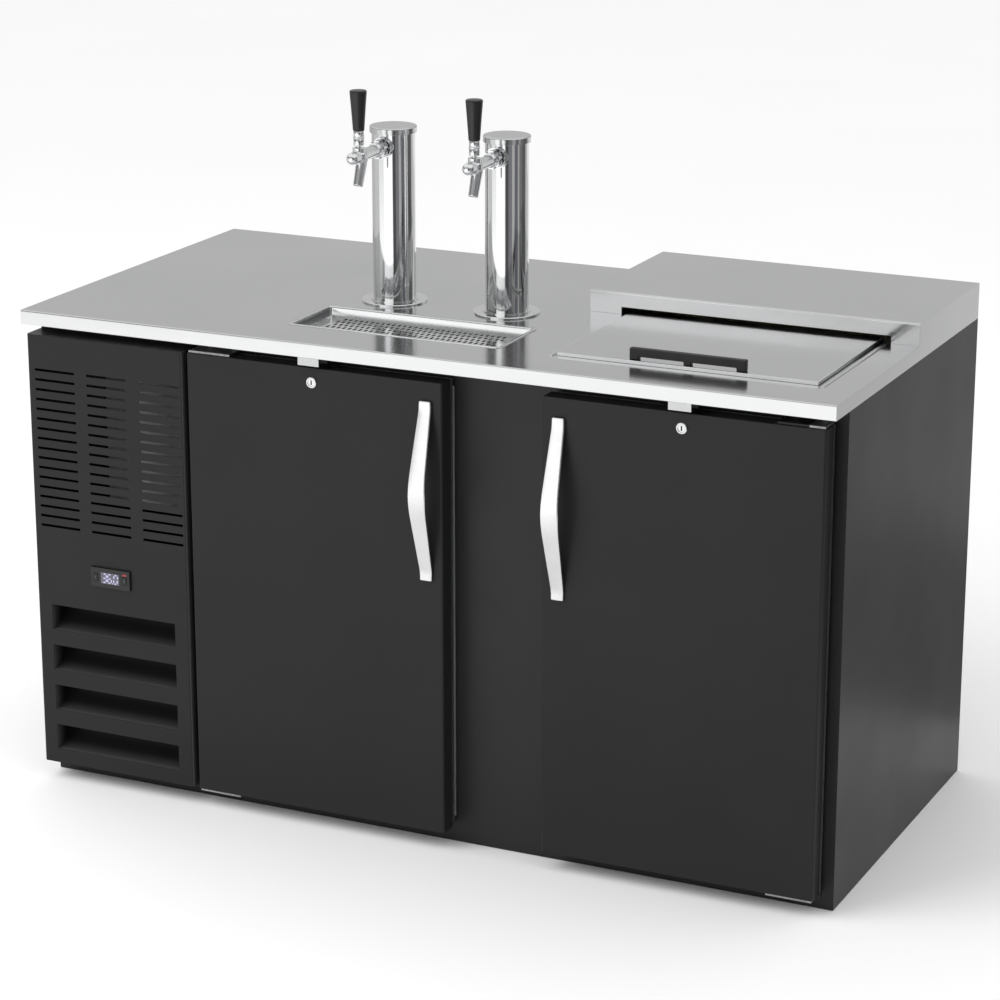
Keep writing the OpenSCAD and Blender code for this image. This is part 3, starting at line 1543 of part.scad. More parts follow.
// Area under a bow of a given bend radius and reach, down to the door's face
module bow(r, out, z1) {
  lap = 0.05;
  tuck = 2;
  y0 = r * (1 - cos(ramp)) - out;
  z0 = r * sin(ramp);
  y_in = y0 + lap * cos(ramp);
  z_in = z0 - lap * sin(ramp);
  y1 = y_in + (z1 - z_in) * tan(ramp);
  intersection() {
    translate([r - out, 0]) circle(r);
    translate([-out - cut, -2 * z0]) square([y0 + tuck + out + cut, 4 * z0]);
  }
  polygon([[y_in, -z_in], [y_in, z_in], [y1, z1], [out, z1], [out, -z1], [y1, -z1]]);
}

// Lock barrel with its head, a keyway and the cam at its end
module lock(side) {
  key_w2 = 1.2;
  key_l = 6;
  color("#e0e0e0") at_door(side) lock_place() difference() {
    union() {
      translate([0, 0, -lock_head_t - move_gap]) cylinder(h = lock_head_t, r = lock_head_r);
      translate([0, 0, -move_gap - cut]) cylinder(h = cam_back + cam_t + move_gap + cut, r = lock_r);
      translate([0, -cam_w / 2, cam_back]) cube([cam_l, cam_w, cam_t]);
    }
    translate([-key_w2 / 2, -key_l / 2, -lock_head_t - move_gap - cut]) cube([key_w2, key_l, 10]);
  }
}

// Hinge brackets at the ends of both doors, each with a fixed leaf and a pin
module hinge_brackets() {
  front = 3;
  side_in = 3;
  d = front_setback - face_setback;
  color("#c9c9c9") for (side = [left, right]) {
    at_door(side) {
      hinge_bracket(front, side_in, d);
      translate([0, 0, door_h]) mirror([0, 0, 1]) hinge_bracket(front, side_in, d);
    }
  }
}

module hinge_bracket(front, side_in, d) {
  z0 = -bracket_gap - bracket_t;
  leaf_t = 3;
  translate([side_in, front, z0]) cube([bracket_w, d - front, bracket_t]);
  translate([side_in, d - leaf_t, z0 - bracket_leaf]) cube([bracket_w, leaf_t, bracket_leaf + cut]);
  translate([pin_inset, pin_inset, z0]) cylinder(h = bracket_t + bracket_gap + pin_l, r = pin_r);
}

// Strike tabs under the nosing: a front tab, a fixing plate and the catch for the lock's cam
module lock_strikes() {
  catch_gap = 2.5;
  front = 0.3;
  catch_y = face_setback + cam_back - catch_gap;
  color("#ededed") for (x = [left_door_x + door_w / 2, right_door_x - door_w / 2]) {
    translate([x - strike_w / 2, y_nose, rim_z]) {
      translate([0, front, -strike_t]) cube([strike_w, catch_y - front, strike_t]);
      translate([0, front, -strike_h]) cube([strike_w, strike_t, strike_h]);
      translate([0, catch_y - strike_t, -catch_h]) cube([strike_w, strike_t, catch_h]);
    }
  }
}

base_pan();
left_side_panel();
right_side_panel();
rear_panel();
front_frame();
bay_wall();
insulation();
cabinet_liner();
worktop();
worktop_core();
lid_hood();
lid_runners();
drip_pan();
drain_tailpiece();
front_grille();
thermostat_housing();
thermostat_display();
hinge_brackets();
lock_strikes();
compressor();
condenser_coil();
fan_shroud();
fan_motors();
evaporator_coil();
evaporator_cover();
refrigerant_lines();
cord_gland();
tower_column(left);  // left_tower_column
tower_column(right);  // right_tower_column
tower_cap(left);  // left_tower_cap
tower_cap(right);  // right_tower_cap
faucet_shank(left);  // left_faucet_shank
faucet_shank(right);  // right_faucet_shank
faucet_body(left);  // left_faucet_body
faucet_body(right);  // right_faucet_body
tap_lever(left);  // left_tap_lever
tap_lever(right);  // right_tap_lever
tap_handle(left);  // left_tap_handle
tap_handle(right);  // right_tap_handle
valve_shaft(left);  // left_valve_shaft
valve_shaft(right);  // right_valve_shaft
door_skin(left);  // left_door_skin
door_skin(right);  // right_door_skin
door_core(left);  // left_door_core
door_core(right);  // right_door_core
door_liner(left);  // left_door_liner
door_liner(right);  // right_door_liner
door_gasket(left);  // left_door_gasket
door_gasket(right);  // right_door_gasket
door_handle(left);  // left_door_handle
door_handle(right);  // right_door_handle
lock(left);  // left_lock
lock(right);  // right_lock
lid_panel();
lid_handle();
drip_grid();
condenser_fan();
evaporator_fan();
thermostat_key(left);  // set_key
thermostat_key(right);  // step_key
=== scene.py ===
import json
import math
import bmesh
import bpy
from mathutils import Matrix, Vector


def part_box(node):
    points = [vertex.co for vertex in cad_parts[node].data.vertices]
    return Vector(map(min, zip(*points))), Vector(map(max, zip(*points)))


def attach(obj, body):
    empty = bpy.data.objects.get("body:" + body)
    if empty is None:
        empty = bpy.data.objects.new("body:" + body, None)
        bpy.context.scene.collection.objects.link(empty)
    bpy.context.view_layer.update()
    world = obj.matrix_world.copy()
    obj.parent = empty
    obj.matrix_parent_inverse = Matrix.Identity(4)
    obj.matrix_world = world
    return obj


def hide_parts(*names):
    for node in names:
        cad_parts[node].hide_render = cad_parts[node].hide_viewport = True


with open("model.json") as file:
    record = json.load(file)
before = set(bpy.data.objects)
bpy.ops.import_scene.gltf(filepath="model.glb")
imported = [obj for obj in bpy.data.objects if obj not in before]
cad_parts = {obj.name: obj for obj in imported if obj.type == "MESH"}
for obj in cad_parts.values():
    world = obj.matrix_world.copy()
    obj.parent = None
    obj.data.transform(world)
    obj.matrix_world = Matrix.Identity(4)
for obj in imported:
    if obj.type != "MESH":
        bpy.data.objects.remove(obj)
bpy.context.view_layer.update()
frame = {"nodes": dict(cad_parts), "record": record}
nodes = frame["nodes"]
scene = bpy.context.scene
mm = 0.001
sides = ("left", "right")
bodies = frame["record"]["behaviour"]["bodies"]
bodyOf = {node: body for body, members in bodies.items() for node in members}
print("frame loaded:", len(nodes), "nodes")


# two corners of a node's box, in millimetres
def boxMm(node):
    return [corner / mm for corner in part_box(node)]


# camera, at the photograph's viewing angle
cameraLook = {"lens": 113.16, "sensor": 36, "reach": 100,
              "place": (2.2724, -4.8484, 2.1574), "tilt": 16.962, "turn": 25.136}
cameraData = bpy.data.cameras.new("camera")
cameraData.lens = cameraLook["lens"]
cameraData.sensor_width = cameraLook["sensor"]
cameraData.clip_end = cameraLook["reach"]
camera = bpy.data.objects.new("camera", cameraData)
camera.location = cameraLook["place"]
camera.rotation_euler = (math.radians(90 - cameraLook["tilt"]), 0, math.radians(cameraLook["turn"]))
scene.collection.objects.link(camera)
scene.camera = camera
scene.view_settings.view_transform = "Standard"
print("camera set")


def linearColour(hexCode):
    steps = [int(hexCode[i:i + 2], 16) / 255 for i in (1, 3, 5)]
    return [s / 12.92 if s <= 0.04045 else ((s + 0.055) / 1.055) ** 2.4 for s in steps] + [1.0]


def addNode(tree, kind, inputs=None, **settings):
    node = tree.nodes.new(kind)
    for key, value in settings.items():
        setattr(node, key, value)
    for key, value in (inputs or {}).items():
        if isinstance(value, bpy.types.NodeSocket):
            tree.links.new(value, node.inputs[key])
        else:
            node.inputs[key].default_value = value
    return node


def startFinish(name):
    finish = bpy.data.materials.new(name)
    finish.use_nodes = True
    finish.node_tree.nodes.clear()
    place = addNode(finish.node_tree, "ShaderNodeTexCoord").outputs["Object"]
    return finish, finish.node_tree, place


def endFinish(tree, inputs):
    shader = addNode(tree, "ShaderNodeBsdfPrincipled", inputs)
    addNode(tree, "ShaderNodeOutputMaterial", {"Surface": shader.outputs["BSDF"]})


# noise with blots of a given size
def blots(tree, place, sizeMm, detail=3.0):
    inputs = {"Vector": place, "Scale": 1 / (sizeMm * mm), "Detail": detail}
    return addNode(tree, "ShaderNodeTexNoise", inputs).outputs["Fac"]


def mixed(tree, share, first, second):
    inputs = {0: share, 6: first, 7: second}
    return addNode(tree, "ShaderNodeMix", inputs, data_type="RGBA").outputs[2]


# tone between the dark and the light one of a look
def toneOf(tree, share, look):
    return mixed(tree, share, linearColour(look["dark"]), linearColour(look["light"]))


# roughness between the two of a look; most of a noise lies between 0.3 and 0.7
def glossOf(tree, share, look, low=0.3, high=0.7):
    smooth, rough = look["rough"]
    inputs = {"Value": share, "From Min": low, "From Max": high, "To Min": smooth, "To Max": rough}
    return addNode(tree, "ShaderNodeMapRange", inputs).outputs["Result"]


# fine relief, on edges that catch the light as if rounded
def reliefOf(tree, height, look, depthMm):
    edge = addNode(tree, "ShaderNodeBevel", {"Radius": look["edgeMm"] * mm}, samples=4)
    relief = addNode(tree, "ShaderNodeBump", {
        "Height": height, "Strength": look["relief"], "Distance": depthMm * mm, "Normal": edge.outputs["Normal"]})
    return relief.outputs["Normal"]


# painted light and shade: tones at distances behind a plane, along one axis; the skin's own tone shows through a
# little
def shadeOf(tree, place, base, shade):
    stops, plane = shade["stops"], shade["plane"]
    near, far = stops[0][0], stops[-1][0]
    fadeMm, cover = 0.2, 0.88
    where = addNode(tree, "ShaderNodeSeparateXYZ", {"Vector": place}).outputs[shade["axis"]]
    part = addNode(tree, "ShaderNodeMapRange", {
        "Value": where, "From Min": plane * mm, "From Max": (plane + far) * mm})
    ramp = addNode(tree, "ShaderNodeValToRGB", {"Fac": part.outputs["Result"]})
    for stop in stops[1:-1]:
        ramp.color_ramp.elements.new(stop[0] / far)
    for element, (at, hexCode) in zip(ramp.color_ramp.elements, stops):
        element.position, element.color = at / far, linearColour(hexCode)
    begin = addNode(tree, "ShaderNodeMapRange", {
        "Value": where, "From Min": (plane + near - fadeMm) * mm, "From Max": (plane + near) * mm, "To Max": cover})
    return mixed(tree, begin.outputs["Result"], base, ramp.outputs["Color"])


# bare metals: a grain drawn out by rolling, brushing or polishing, and a cloudy tone where it was wiped
def bareMetal(name, look):
    finish, tree, place = startFinish(name)
    lay = addNode(tree, "ShaderNodeMapping", {"Vector": place, "Scale": [1 / (g * mm) for g in look["grainMm"]]})
    inputs = {"Vector": lay.outputs["Vector"], "Scale": 1.0, "Detail": 2.0, "Roughness": 0.55}
    grain = addNode(tree, "ShaderNodeTexNoise", inputs).outputs["Fac"]
    grainDepthMm = 0.02
    endFinish(tree, {
        "Base Color": toneOf(tree, blots(tree, place, look["cloudMm"]), look), "Metallic": 1.0,
        "Roughness": glossOf(tree, grain, look), "Normal": reliefOf(tree, grain, look, grainDepthMm)})
    return finish


# paints, mouldings, rubber and foam: a skin with its own fine texture, slightly uneven in tone and gloss
def closedSkin(name, look):
    finish, tree, place = startFinish(name)
    peel = blots(tree, place, look["peelMm"], 2.0)
    cloud = blots(tree, place, look["cloudMm"])
    base = toneOf(tree, cloud, look)
    if "shade" in look:
        base = shadeOf(tree, place, base, look["shade"])
    endFinish(tree, {
        "Base Color": base, "Roughness": glossOf(tree, cloud, look), "IOR": look["ior"],
        "Normal": reliefOf(tree, peel, look, look["depthMm"])})
    return finish


# zinc coats: crystals, each a slightly different grey and gloss
def zincSheet(name, look):
    finish, tree, place = startFinish(name)
    crystal = addNode(tree, "ShaderNodeTexVoronoi", {"Vector": place, "Scale": 1 / (look["crystalMm"] * mm)})
    pick = addNode(tree, "ShaderNodeSeparateColor", {"Color": crystal.outputs["Color"]})
    endFinish(tree, {
        "Base Color": toneOf(tree, pick.outputs["Red"], look), "Metallic": 1.0,
        "Roughness": glossOf(tree, pick.outputs["Green"], look, 0.0, 1.0)})
    return finish


# embossed liner sheet: a stucco of low pebbles that breaks up the shine
def stuccoSheet(name, look):
    finish, tree, place = startFinish(name)
    inputs = {"Vector": place, "Scale": 1 / (look["pebbleMm"] * mm), "Smoothness": 0.6}
    pebble = addNode(tree, "ShaderNodeTexVoronoi", inputs, feature="SMOOTH_F1")
    relief = addNode(tree, "ShaderNodeBump", {
        "Height": pebble.outputs["Distance"], "Strength": look["relief"], "Distance": look["depthMm"] * mm})
    endFinish(tree, {
        "Base Color": toneOf(tree, blots(tree, place, look["cloudMm"]), look), "Metallic": 1.0,
        "Roughness": look["rough"], "Normal": relief.outputs["Normal"]})
    return finish


# lit marks of the display, seen through its window
def litMark(name, look):
    finish, tree, place = startFinish(name)
    tone = toneOf(tree, blots(tree, place, look["cloudMm"], 1.0), look)
    endFinish(tree, {
        "Base Color": tone, "Roughness": 0.4, "Emission Color": tone, "Emission Strength": look["glow"]})
    return finish


# brushed stainless sheet: fine lines along the worktop's length, nearly a mirror across them
# the real lines are 0.1 mm apart, drawn here 0.5 mm apart so that they show
brushedTop = bareMetal("brushed stainless sheet", {
    "dark": "#C6C7C8", "light": "#D2D2D2", "grainMm": (60, 0.5, 0.5), "cloudMm": 220,
    "rough": (0.10, 0.20), "relief": 0.10, "edgeMm": 0.8})
# stainless of runners, locks and screws: the same sheet, blanked and deburred, so a softer shine
pressedSteel = bareMetal("pressed stainless sheet", {
    "dark": "#C9CACB", "light": "#DADADA", "grainMm": (30, 0.6, 0.6), "cloudMm": 60,
    "rough": (0.16, 0.28), "relief": 0.12, "edgeMm": 0.5})
# mirror polished stainless tube: sharp reflections with a trace of the polishing wheel round the tube
polishedTube = bareMetal("mirror polished stainless tube", {
    "dark": "#D4D5D6", "light": "#E2E2E2", "grainMm": (6, 6, 0.5), "cloudMm": 45,
    "rough": (0.04, 0.09), "relief": 0.05, "edgeMm": 0.4})
# bright chrome plate over cast brass: a colder mirror, soft where the casting was ground
chromePlate = bareMetal("chrome plated casting", {
    "dark": "#DADCDE", "light": "#E8E8E8", "grainMm": (3, 3, 3), "cloudMm": 18,
    "rough": (0.11, 0.19), "relief": 0.05, "edgeMm": 0.4})
# satin chrome door pulls: plated zinc that throws back a broad soft light
satinPull = bareMetal("satin chrome plated zinc", {
    "dark": "#D2D2D2", "light": "#E0E0E0", "grainMm": (0.6, 0.6, 12), "cloudMm": 50,
    "rough": (0.20, 0.30), "relief": 0.08, "edgeMm": 0.5})
# turned brass, left bare inside the tap: yellow with faint tool lines
turnedBrass = bareMetal("turned brass", {
    "dark": "#B58F45", "light": "#D2B066", "grainMm": (5, 0.5, 5), "cloudMm": 12,
    "rough": (0.18, 0.30), "relief": 0.15, "edgeMm": 0.2})
# drawn copper tube: red, dulled by handling
drawnCopper = bareMetal("drawn copper tube", {
    "dark": "#9A5A38", "light": "#C98560", "grainMm": (8, 8, 2), "cloudMm": 30,
    "rough": (0.24, 0.42), "relief": 0.10, "edgeMm": 0.2})
# rolled aluminium fin stock, grey with thin bright lines
finStock = bareMetal("rolled aluminium fin stock", {
    "dark": "#8E9296", "light": "#B4B8BB", "grainMm": (0.8, 0.8, 20), "cloudMm": 40,
    "rough": (0.28, 0.42), "relief": 0.15, "edgeMm": 0.1})
# tumbled stainless of the strike tabs: a little greyer than the worktop's edge above them
tumbledSteel = bareMetal("tumbled stainless sheet", {
    "dark": "#B2B3B4", "light": "#BCBCBC", "grainMm": (4, 4, 4), "cloudMm": 30,
    "rough": (0.20, 0.30), "relief": 0.08, "edgeMm": 0.4})
# deep drawn stainless of the tray: smoother and brighter than the worktop
drawnSteel = bareMetal("deep drawn stainless sheet", {
    "dark": "#D2D3D4", "light": "#DEDEDE", "grainMm": (40, 0.8, 0.8), "cloudMm": 80,
    "rough": (0.13, 0.20), "relief": 0.05, "edgeMm": 0.5})
# pre-painted black steel of doors and sides: a charcoal body under a weak satin gloss, with a faint
# orange peel 1.6 mm across
paintLook = {
    "dark": "#1F1F1F", "light": "#242424", "peelMm": 1.6, "cloudMm": 160,
    "rough": (0.30, 0.36), "relief": 0.06, "depthMm": 0.05, "edgeMm": 0.8, "ior": 1.25}
paintedSteel = closedSkin("pre-painted black steel", paintLook)
# the same paint on the louvred panel, with painted light and shade: lighter at the foot of each scoop, and darker
# deeper inside, where the recess is in shade
shadedLouvredSteel = closedSkin("pre-painted louvred steel", {**paintLook, "shade": {
    "axis": 1, "plane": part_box("front_grille")[0].y / mm,
    "stops": ((1.4, "#4E4E4E"), (12, "#363636"), (28, "#161616"), (46, "#090909"))}})
# powder coated frame behind the doors: flatter, with a coarser peel
powderFrame = closedSkin("powder coated black steel", {
    "dark": "#0E0E0E", "light": "#141414", "peelMm": 2.2, "cloudMm": 120,
    "rough": (0.42, 0.50), "relief": 0.12, "depthMm": 0.06, "edgeMm": 0.8, "ior": 1.42})
# baked enamel on the compressor's welded can: thick and glossy
bakedEnamel = closedSkin("baked black enamel", {
    "dark": "#101011", "light": "#1A1A1B", "peelMm": 4, "cloudMm": 60,
    "rough": (0.22, 0.34), "relief": 0.15, "depthMm": 0.15, "edgeMm": 0.8, "ior": 1.5})
# turned phenolic of the tap grips: deep black, polished by the mould
phenolicGrip = closedSkin("moulded black phenolic", {
    "dark": "#0F0F0F", "light": "#151515", "peelMm": 0.9, "cloudMm": 20,
    "rough": (0.30, 0.40), "relief": 0.05, "depthMm": 0.03, "edgeMm": 0.4, "ior": 1.5})
# moulded ABS of the lid's handle and the thermostat: spark eroded grain, drawn 0.8 mm so that it shows
mouldedAbs = closedSkin("moulded black ABS", {
    "dark": "#131314", "light": "#1A1A1B", "peelMm": 0.8, "cloudMm": 25,
    "rough": (0.40, 0.52), "relief": 0.20, "depthMm": 0.05, "edgeMm": 0.4, "ior": 1.45})
# pale grey enamel of the bay's wall and control box: matt, so the slots in front of it show soft grey bars;
# with painted shade, darker towards the box's ends
shadedGreyEnamel = closedSkin("pale grey enamel", {
    "dark": "#A6A7A8", "light": "#B6B7B8", "peelMm": 2.0, "cloudMm": 90,
    "rough": (0.55, 0.65), "relief": 0.06, "depthMm": 0.05, "edgeMm": 0.5, "ior": 1.45, "shade": {
        "axis": 0, "plane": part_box("bay_wall")[0].x / mm,
        "stops": ((0.4, "#4A4A4A"), (36, "#585858"), (56, "#BABABA"), (85, "#A8A8A8"), (130, "#707070"))}})
# soft PVC of the gaskets: grey, slightly waxy; the line behind each door's edge
softPvc = closedSkin("extruded soft PVC", {
    "dark": "#5C5D5F", "light": "#6A6B6D", "peelMm": 1.2, "cloudMm": 30,
    "rough": (0.48, 0.60), "relief": 0.10, "depthMm": 0.05, "edgeMm": 0.3, "ior": 1.52})
# rubber of the cord's bush; the same black is also the keyways' painted shade
blackRubberAndKeywayShade = closedSkin("black rubber", {
    "dark": "#101010", "light": "#1A1A1A", "peelMm": 1.0, "cloudMm": 12,
    "rough": (0.55, 0.70), "relief": 0.20, "depthMm": 0.05, "edgeMm": 0.4, "ior": 1.5})
# rigid polyurethane foam: cut cells about 2 mm across, cream yellow
rigidFoam = closedSkin("rigid polyurethane foam", {
    "dark": "#CDBB82", "light": "#E2D4A2", "peelMm": 2, "cloudMm": 60,
    "rough": (0.80, 0.92), "relief": 0.60, "depthMm": 0.6, "edgeMm": 0.5, "ior": 1.45})
# grey pad print of the marks on the keys: thin and matt
printInk = closedSkin("grey pad print", {
    "dark": "#4E4E4E", "light": "#5E5E5E", "peelMm": 0.5, "cloudMm": 5,
    "rough": (0.5, 0.6), "relief": 0.02, "depthMm": 0.01, "edgeMm": 0.1, "ior": 1.5})
# zinc plate of the hinges: small crystals and a dull shine
dullZinc = zincSheet("zinc plated steel", {
    "dark": "#8B8C8D", "light": "#A2A3A4", "crystalMm": 5, "rough": (0.38, 0.50)})
# galvanised steel of base and fan shroud: crystals about 12 mm across
galvanised = zincSheet("hot dip galvanised steel", {
    "dark": "#8A8E91", "light": "#B3B6B8", "crystalMm": 12, "rough": (0.32, 0.50)})
# stucco embossed aluminium liner of the cold space and the doors' backs
stuccoLiner = stuccoSheet("stucco embossed aluminium", {
    "dark": "#B9BCBE", "light": "#CBCDCE", "pebbleMm": 3.5, "depthMm": 0.4, "cloudMm": 180,
    "relief": 0.35, "rough": 0.34})
# backlit digits, the dim window behind them, and the red lamp
litDigits = litMark("backlit liquid crystal", {"dark": "#A3A0C2", "light": "#B6B3D6", "cloudMm": 6, "glow": 0.35})
litWindow = litMark("backlit window film", {"dark": "#4C4C55", "light": "#5E5E69", "cloudMm": 9, "glow": 0.08})
redLamp = litMark("red indicator film", {"dark": "#7E2328", "light": "#94292C", "cloudMm": 2, "glow": 0.12})
print("finishes mixed:", len(bpy.data.materials))

# finish of each node that is shown as it was drawn
finishOf = {
    "base_pan": galvanised, "bay_wall": shadedGreyEnamel, "fan_shroud": galvanised, "rear_panel": paintedSteel,
    "front_frame": powderFrame, "front_grille": shadedLouvredSteel, "insulation": rigidFoam, "worktop_core": rigidFoam,
    "cabinet_liner": stuccoLiner, "evaporator_cover": stuccoLiner, "worktop": brushedTop, "lid_hood": brushedTop,
    "lid_runners": pressedSteel, "drip_grid": drawnSteel, "drain_tailpiece": chromePlate, "compressor": bakedEnamel,
    "condenser_coil": bakedEnamel, "evaporator_coil": finStock, "condenser_fan": finStock,
    "evaporator_fan": mouldedAbs, "fan_motors": bakedEnamel, "refrigerant_lines": drawnCopper,
    "cord_gland": blackRubberAndKeywayShade, "thermostat_display": litWindow,
}
for name, finish in (("side_panel", paintedSteel), ("door_skin", paintedSteel), ("door_core", rigidFoam),
                     ("tower_column", polishedTube), ("tower_cap", brushedTop), ("faucet_shank", chromePlate),
                     ("valve_shaft", turnedBrass), ("lock", pressedSteel)):
    for side in sides:
        finishOf[side + "_" + name] = finish
for node, finish in finishOf.items():
    nodes[node].data.materials.clear()
    nodes[node].data.materials.append(finish)
print("nodes finished:", len(finishOf))


# shapes are lists of points in millimetres and faces over them
def lofted(rings, loop=False, capStart=False, capEnd=False):
    count = len(rings[0])
    points = [Vector(p) for ring in rings for p in ring]
    faces = []
    for r in range(len(rings) if loop else len(rings) - 1):
        a, b = r * count, (r + 1) % len(rings) * count
        faces += [[a + k, a + (k + 1) % count, b + (k + 1) % count, b + k] for k in range(count)]
    if capStart:
        faces.append(list(range(count)))
    if capEnd:
        faces.append([len(points) - count + k for k in range(count)])
    return points, faces


def circle(radius, z, steps):
    turns = [2 * math.pi * k / steps for k in range(steps)]
    return [(radius * math.cos(a), radius * math.sin(a), z) for a in turns]


def turned(profile, steps=48):
    return lofted([circle(radius, z, steps) for radius, z in profile])


# rounds the corners (u, v, radius) of a line
def softened(corners, closed=False, steps=4):
    line = []
    for i, (u, v, radius) in enumerate(corners):
        here = Vector((u, v))
        if radius <= 0 or (not closed and i in (0, len(corners) - 1)):
            line.append(here)
            continue
        before = (Vector(corners[i - 1][:2]) - here).normalized()
        after = (Vector(corners[(i + 1) % len(corners)][:2]) - here).normalized()
        half = before.angle(after) / 2
        centre = here + (before + after).normalized() * radius / math.sin(half)
        start = here + before * radius / math.tan(half) - centre
        end = here + after * radius / math.tan(half) - centre
        line += [centre + start.slerp(end, k / steps).normalized() * radius for k in range(steps + 1)]
    return line


def rectangle(u0, u1, v0, v1):
    return [(u0, v0), (u1, v0), (u1, v1), (u0, v1)]


def softRectangle(u0, u1, v0, v1, radius, steps=4):
    return softened([(u, v, radius) for u, v in rectangle(u0, u1, v0, v1)], closed=True, steps=steps)


# plate over an outline (x, z), from a plane towards the front
def flatBar(outline, plane, thick):
    rings = [[(x, plane + y, z) for x, z in outline] for y in (0, -thick)]
    return lofted(rings, capStart=True, capEnd=True)


def placed(shape, at, turn=None):
    move = Matrix.Translation(Vector(at))
    if turn:
        move = move @ Matrix.Rotation(math.radians(turn[0]), 4, turn[1])
    return [move @ p for p in shape[0]], shape[1]


def joined(shapes):
    points, faces = [], []
    for shapePoints, shapeFaces in shapes:
        faces += [[i + len(points) for i in face] for face in shapeFaces]
        points += shapePoints
    return points, faces


def weld(work):
    weldMm = 0.002
    bmesh.ops.remove_doubles(work, verts=work.verts, dist=weldMm * mm)


def settle(piece, body, finish, smoothDegrees=35):
    work = bmesh.new()
    work.from_mesh(piece.data)
    weld(work)
    bmesh.ops.recalc_face_normals(work, faces=work.faces)
    work.to_mesh(piece.data)
    work.free()
    piece.data.shade_smooth()
    piece.data.set_sharp_from_angle(angle=math.radians(smoothDegrees))
    piece.data.materials.clear()
    piece.data.materials.append(finish)
    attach(piece, body)
    return piece


def linked(name, mesh):
    thing = bpy.data.objects.new(name, mesh)
    scene.collection.objects.link(thing)
    return thing


def addPiece(name, shape, body, finish, smoothDegrees=35):
    mesh = bpy.data.meshes.new(name)
    mesh.from_pydata([p * mm for p in shape[0]], [], shape[1])
    return settle(linked(name, mesh), body, finish, smoothDegrees)


# copy of a node whose sharp edges are rounded off, shown in its place; only edges over a height, if one is given
edgeLook = {"sharpDegrees": 40, "flatDegrees": 1, "steps": 2}


def roundedCopy(node, widthMm, finish, overMm=-math.inf):
    work = bmesh.new()
    work.from_mesh(nodes[node].data)
    weld(work)
    flat, sharp = math.radians(edgeLook["flatDegrees"]), math.radians(edgeLook["sharpDegrees"])
    bmesh.ops.dissolve_limit(work, angle_limit=flat, verts=work.verts, edges=work.edges)
    picked = [e for e in work.edges if len(e.link_faces) == 2 and e.calc_face_angle() > sharp
              and min(v.co.z for v in e.verts) > overMm * mm]
    bmesh.ops.bevel(work, geom=picked, offset=widthMm * mm, offset_type="OFFSET", segments=edgeLook["steps"],
                    profile=0.5, affect="EDGES", clamp_overlap=True)
    mesh = bpy.data.meshes.new(node + ".rounded")
    work.to_mesh(mesh)
    work.free()
    piece = settle(linked(node + ".rounded", mesh), bodyOf[node], finish)
    weight = piece.modifiers.new("even shading", "WEIGHTED_NORMAL")
    weight.keep_sharp = True
    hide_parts(node)
    return piece


# second finish on the faces that lie behind a plane
def finishBehind(piece, planeMm, finish):
    piece.data.materials.append(finish)
    for face in piece.data.polygons:
        if face.center.y > planeMm * mm:
            face.material_index = 1


# door pulls: a strap bowed outward, widest at its middle, with softly rounded edges
doorPull = {"height": 312, "thick": 7, "endWide": 21.5, "midWide": 32, "peakRound": 0.05, "edge": 2.4, "crown": 0.5,
            "footOut": 3.5, "footRadius": 50, "bendAt": 139.5, "apex": 43.37, "bendRadius": 146.5,
            "endStep": 0.12, "endShrink": 1.0}


def strapSection(wide, shrink):
    w, t = wide / 2 - shrink, doorPull["thick"] / 2 - shrink
    edge, crown = doorPull["edge"], doorPull["crown"]
    corners = [(-w, -t, edge), (0, -t, 0), (w, -t, edge), (w, t - crown, edge), (0, t, 0), (-w, t - crown, edge)]
    return softened(corners, closed=True)


for side in sides:
    low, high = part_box(side + "_door_handle")
    middle = Vector(((low.x + high.x) / 2, high.y, (low.z + high.z) / 2)) / mm
    half, step = doorPull["height"] / 2, doorPull["endStep"]
    footOut, bendAt, footRadius = [doorPull[key] for key in ("footOut", "bendAt", "footRadius")]
    line = softened([(footOut, half, 0), (footOut, bendAt, footRadius), (doorPull["apex"], 0, doorPull["bendRadius"]),
                     (footOut, -bendAt, footRadius), (footOut, -half, 0)], steps=10)
    path = [line[0], line[0].lerp(line[1], step)] + line[1:-1] + [line[-1].lerp(line[-2], step), line[-1]]
    rings = []
    for i, (out, up) in enumerate(path):
        ahead = path[min(i + 1, len(path) - 1)] - path[max(i - 1, 0)]
        normal = Vector((-ahead.y, ahead.x)).normalized()  # points away from the door
        share = 1 + doorPull["peakRound"] - math.hypot(up / half, doorPull["peakRound"])
        wide = doorPull["endWide"] + (doorPull["midWide"] - doorPull["endWide"]) * share
        section = strapSection(wide, doorPull["endShrink"] if i in (0, len(path) - 1) else 0)
        rings.append([(middle.x + u, middle.y - out - normal.x * v, middle.z + up + normal.y * v)
                      for u, v in section])
    shape = lofted(rings, capStart=True, capEnd=True)
    pull = addPiece(side + "DoorPull", shape, side + "_door", satinPull, 30)
    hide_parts(side + "_door_handle")
print("door pulls bent")

# tap grips: flared, with a flat top; ferrules: a turned sleeve with one bead, hollow below so that it clears
# the bonnet, on a lever with a ball and a finger
tapGrip = {"height": 69, "lowRadius": 10, "topRadius": 14.8, "flare": 1.12, "steps": 12, "sweepFrom": 1.5,
           "sweepLength": 64.5, "topRound": 2.6, "footEase": ((1.4, 0), (0.4, 0.5))}
ferrule = {"from": 14.5, "length": 20.5, "radius": 9.1, "bead": 9.7, "beadAt": 0.42, "skirt": 9.8, "chamfer": 0.8,
           "ball": 5.5, "finger": ((0, -10.5), (1.1, -10.5), (1.6, -10.0), (1.6, -5.3)),
           "hollow": ((3.5, 4.6), (3.5, 12.4), (5.0, 11.9), (6.6, 11.1), (8.0, 10.1)), "lipRadius": 8.4,
           "lipRound": ((0.2, 0.5), (0, 1.4)), "beadEase": 0.3, "grooveDeep": 0.5, "beadSteps": (1.1, 1.7, 2.2)}
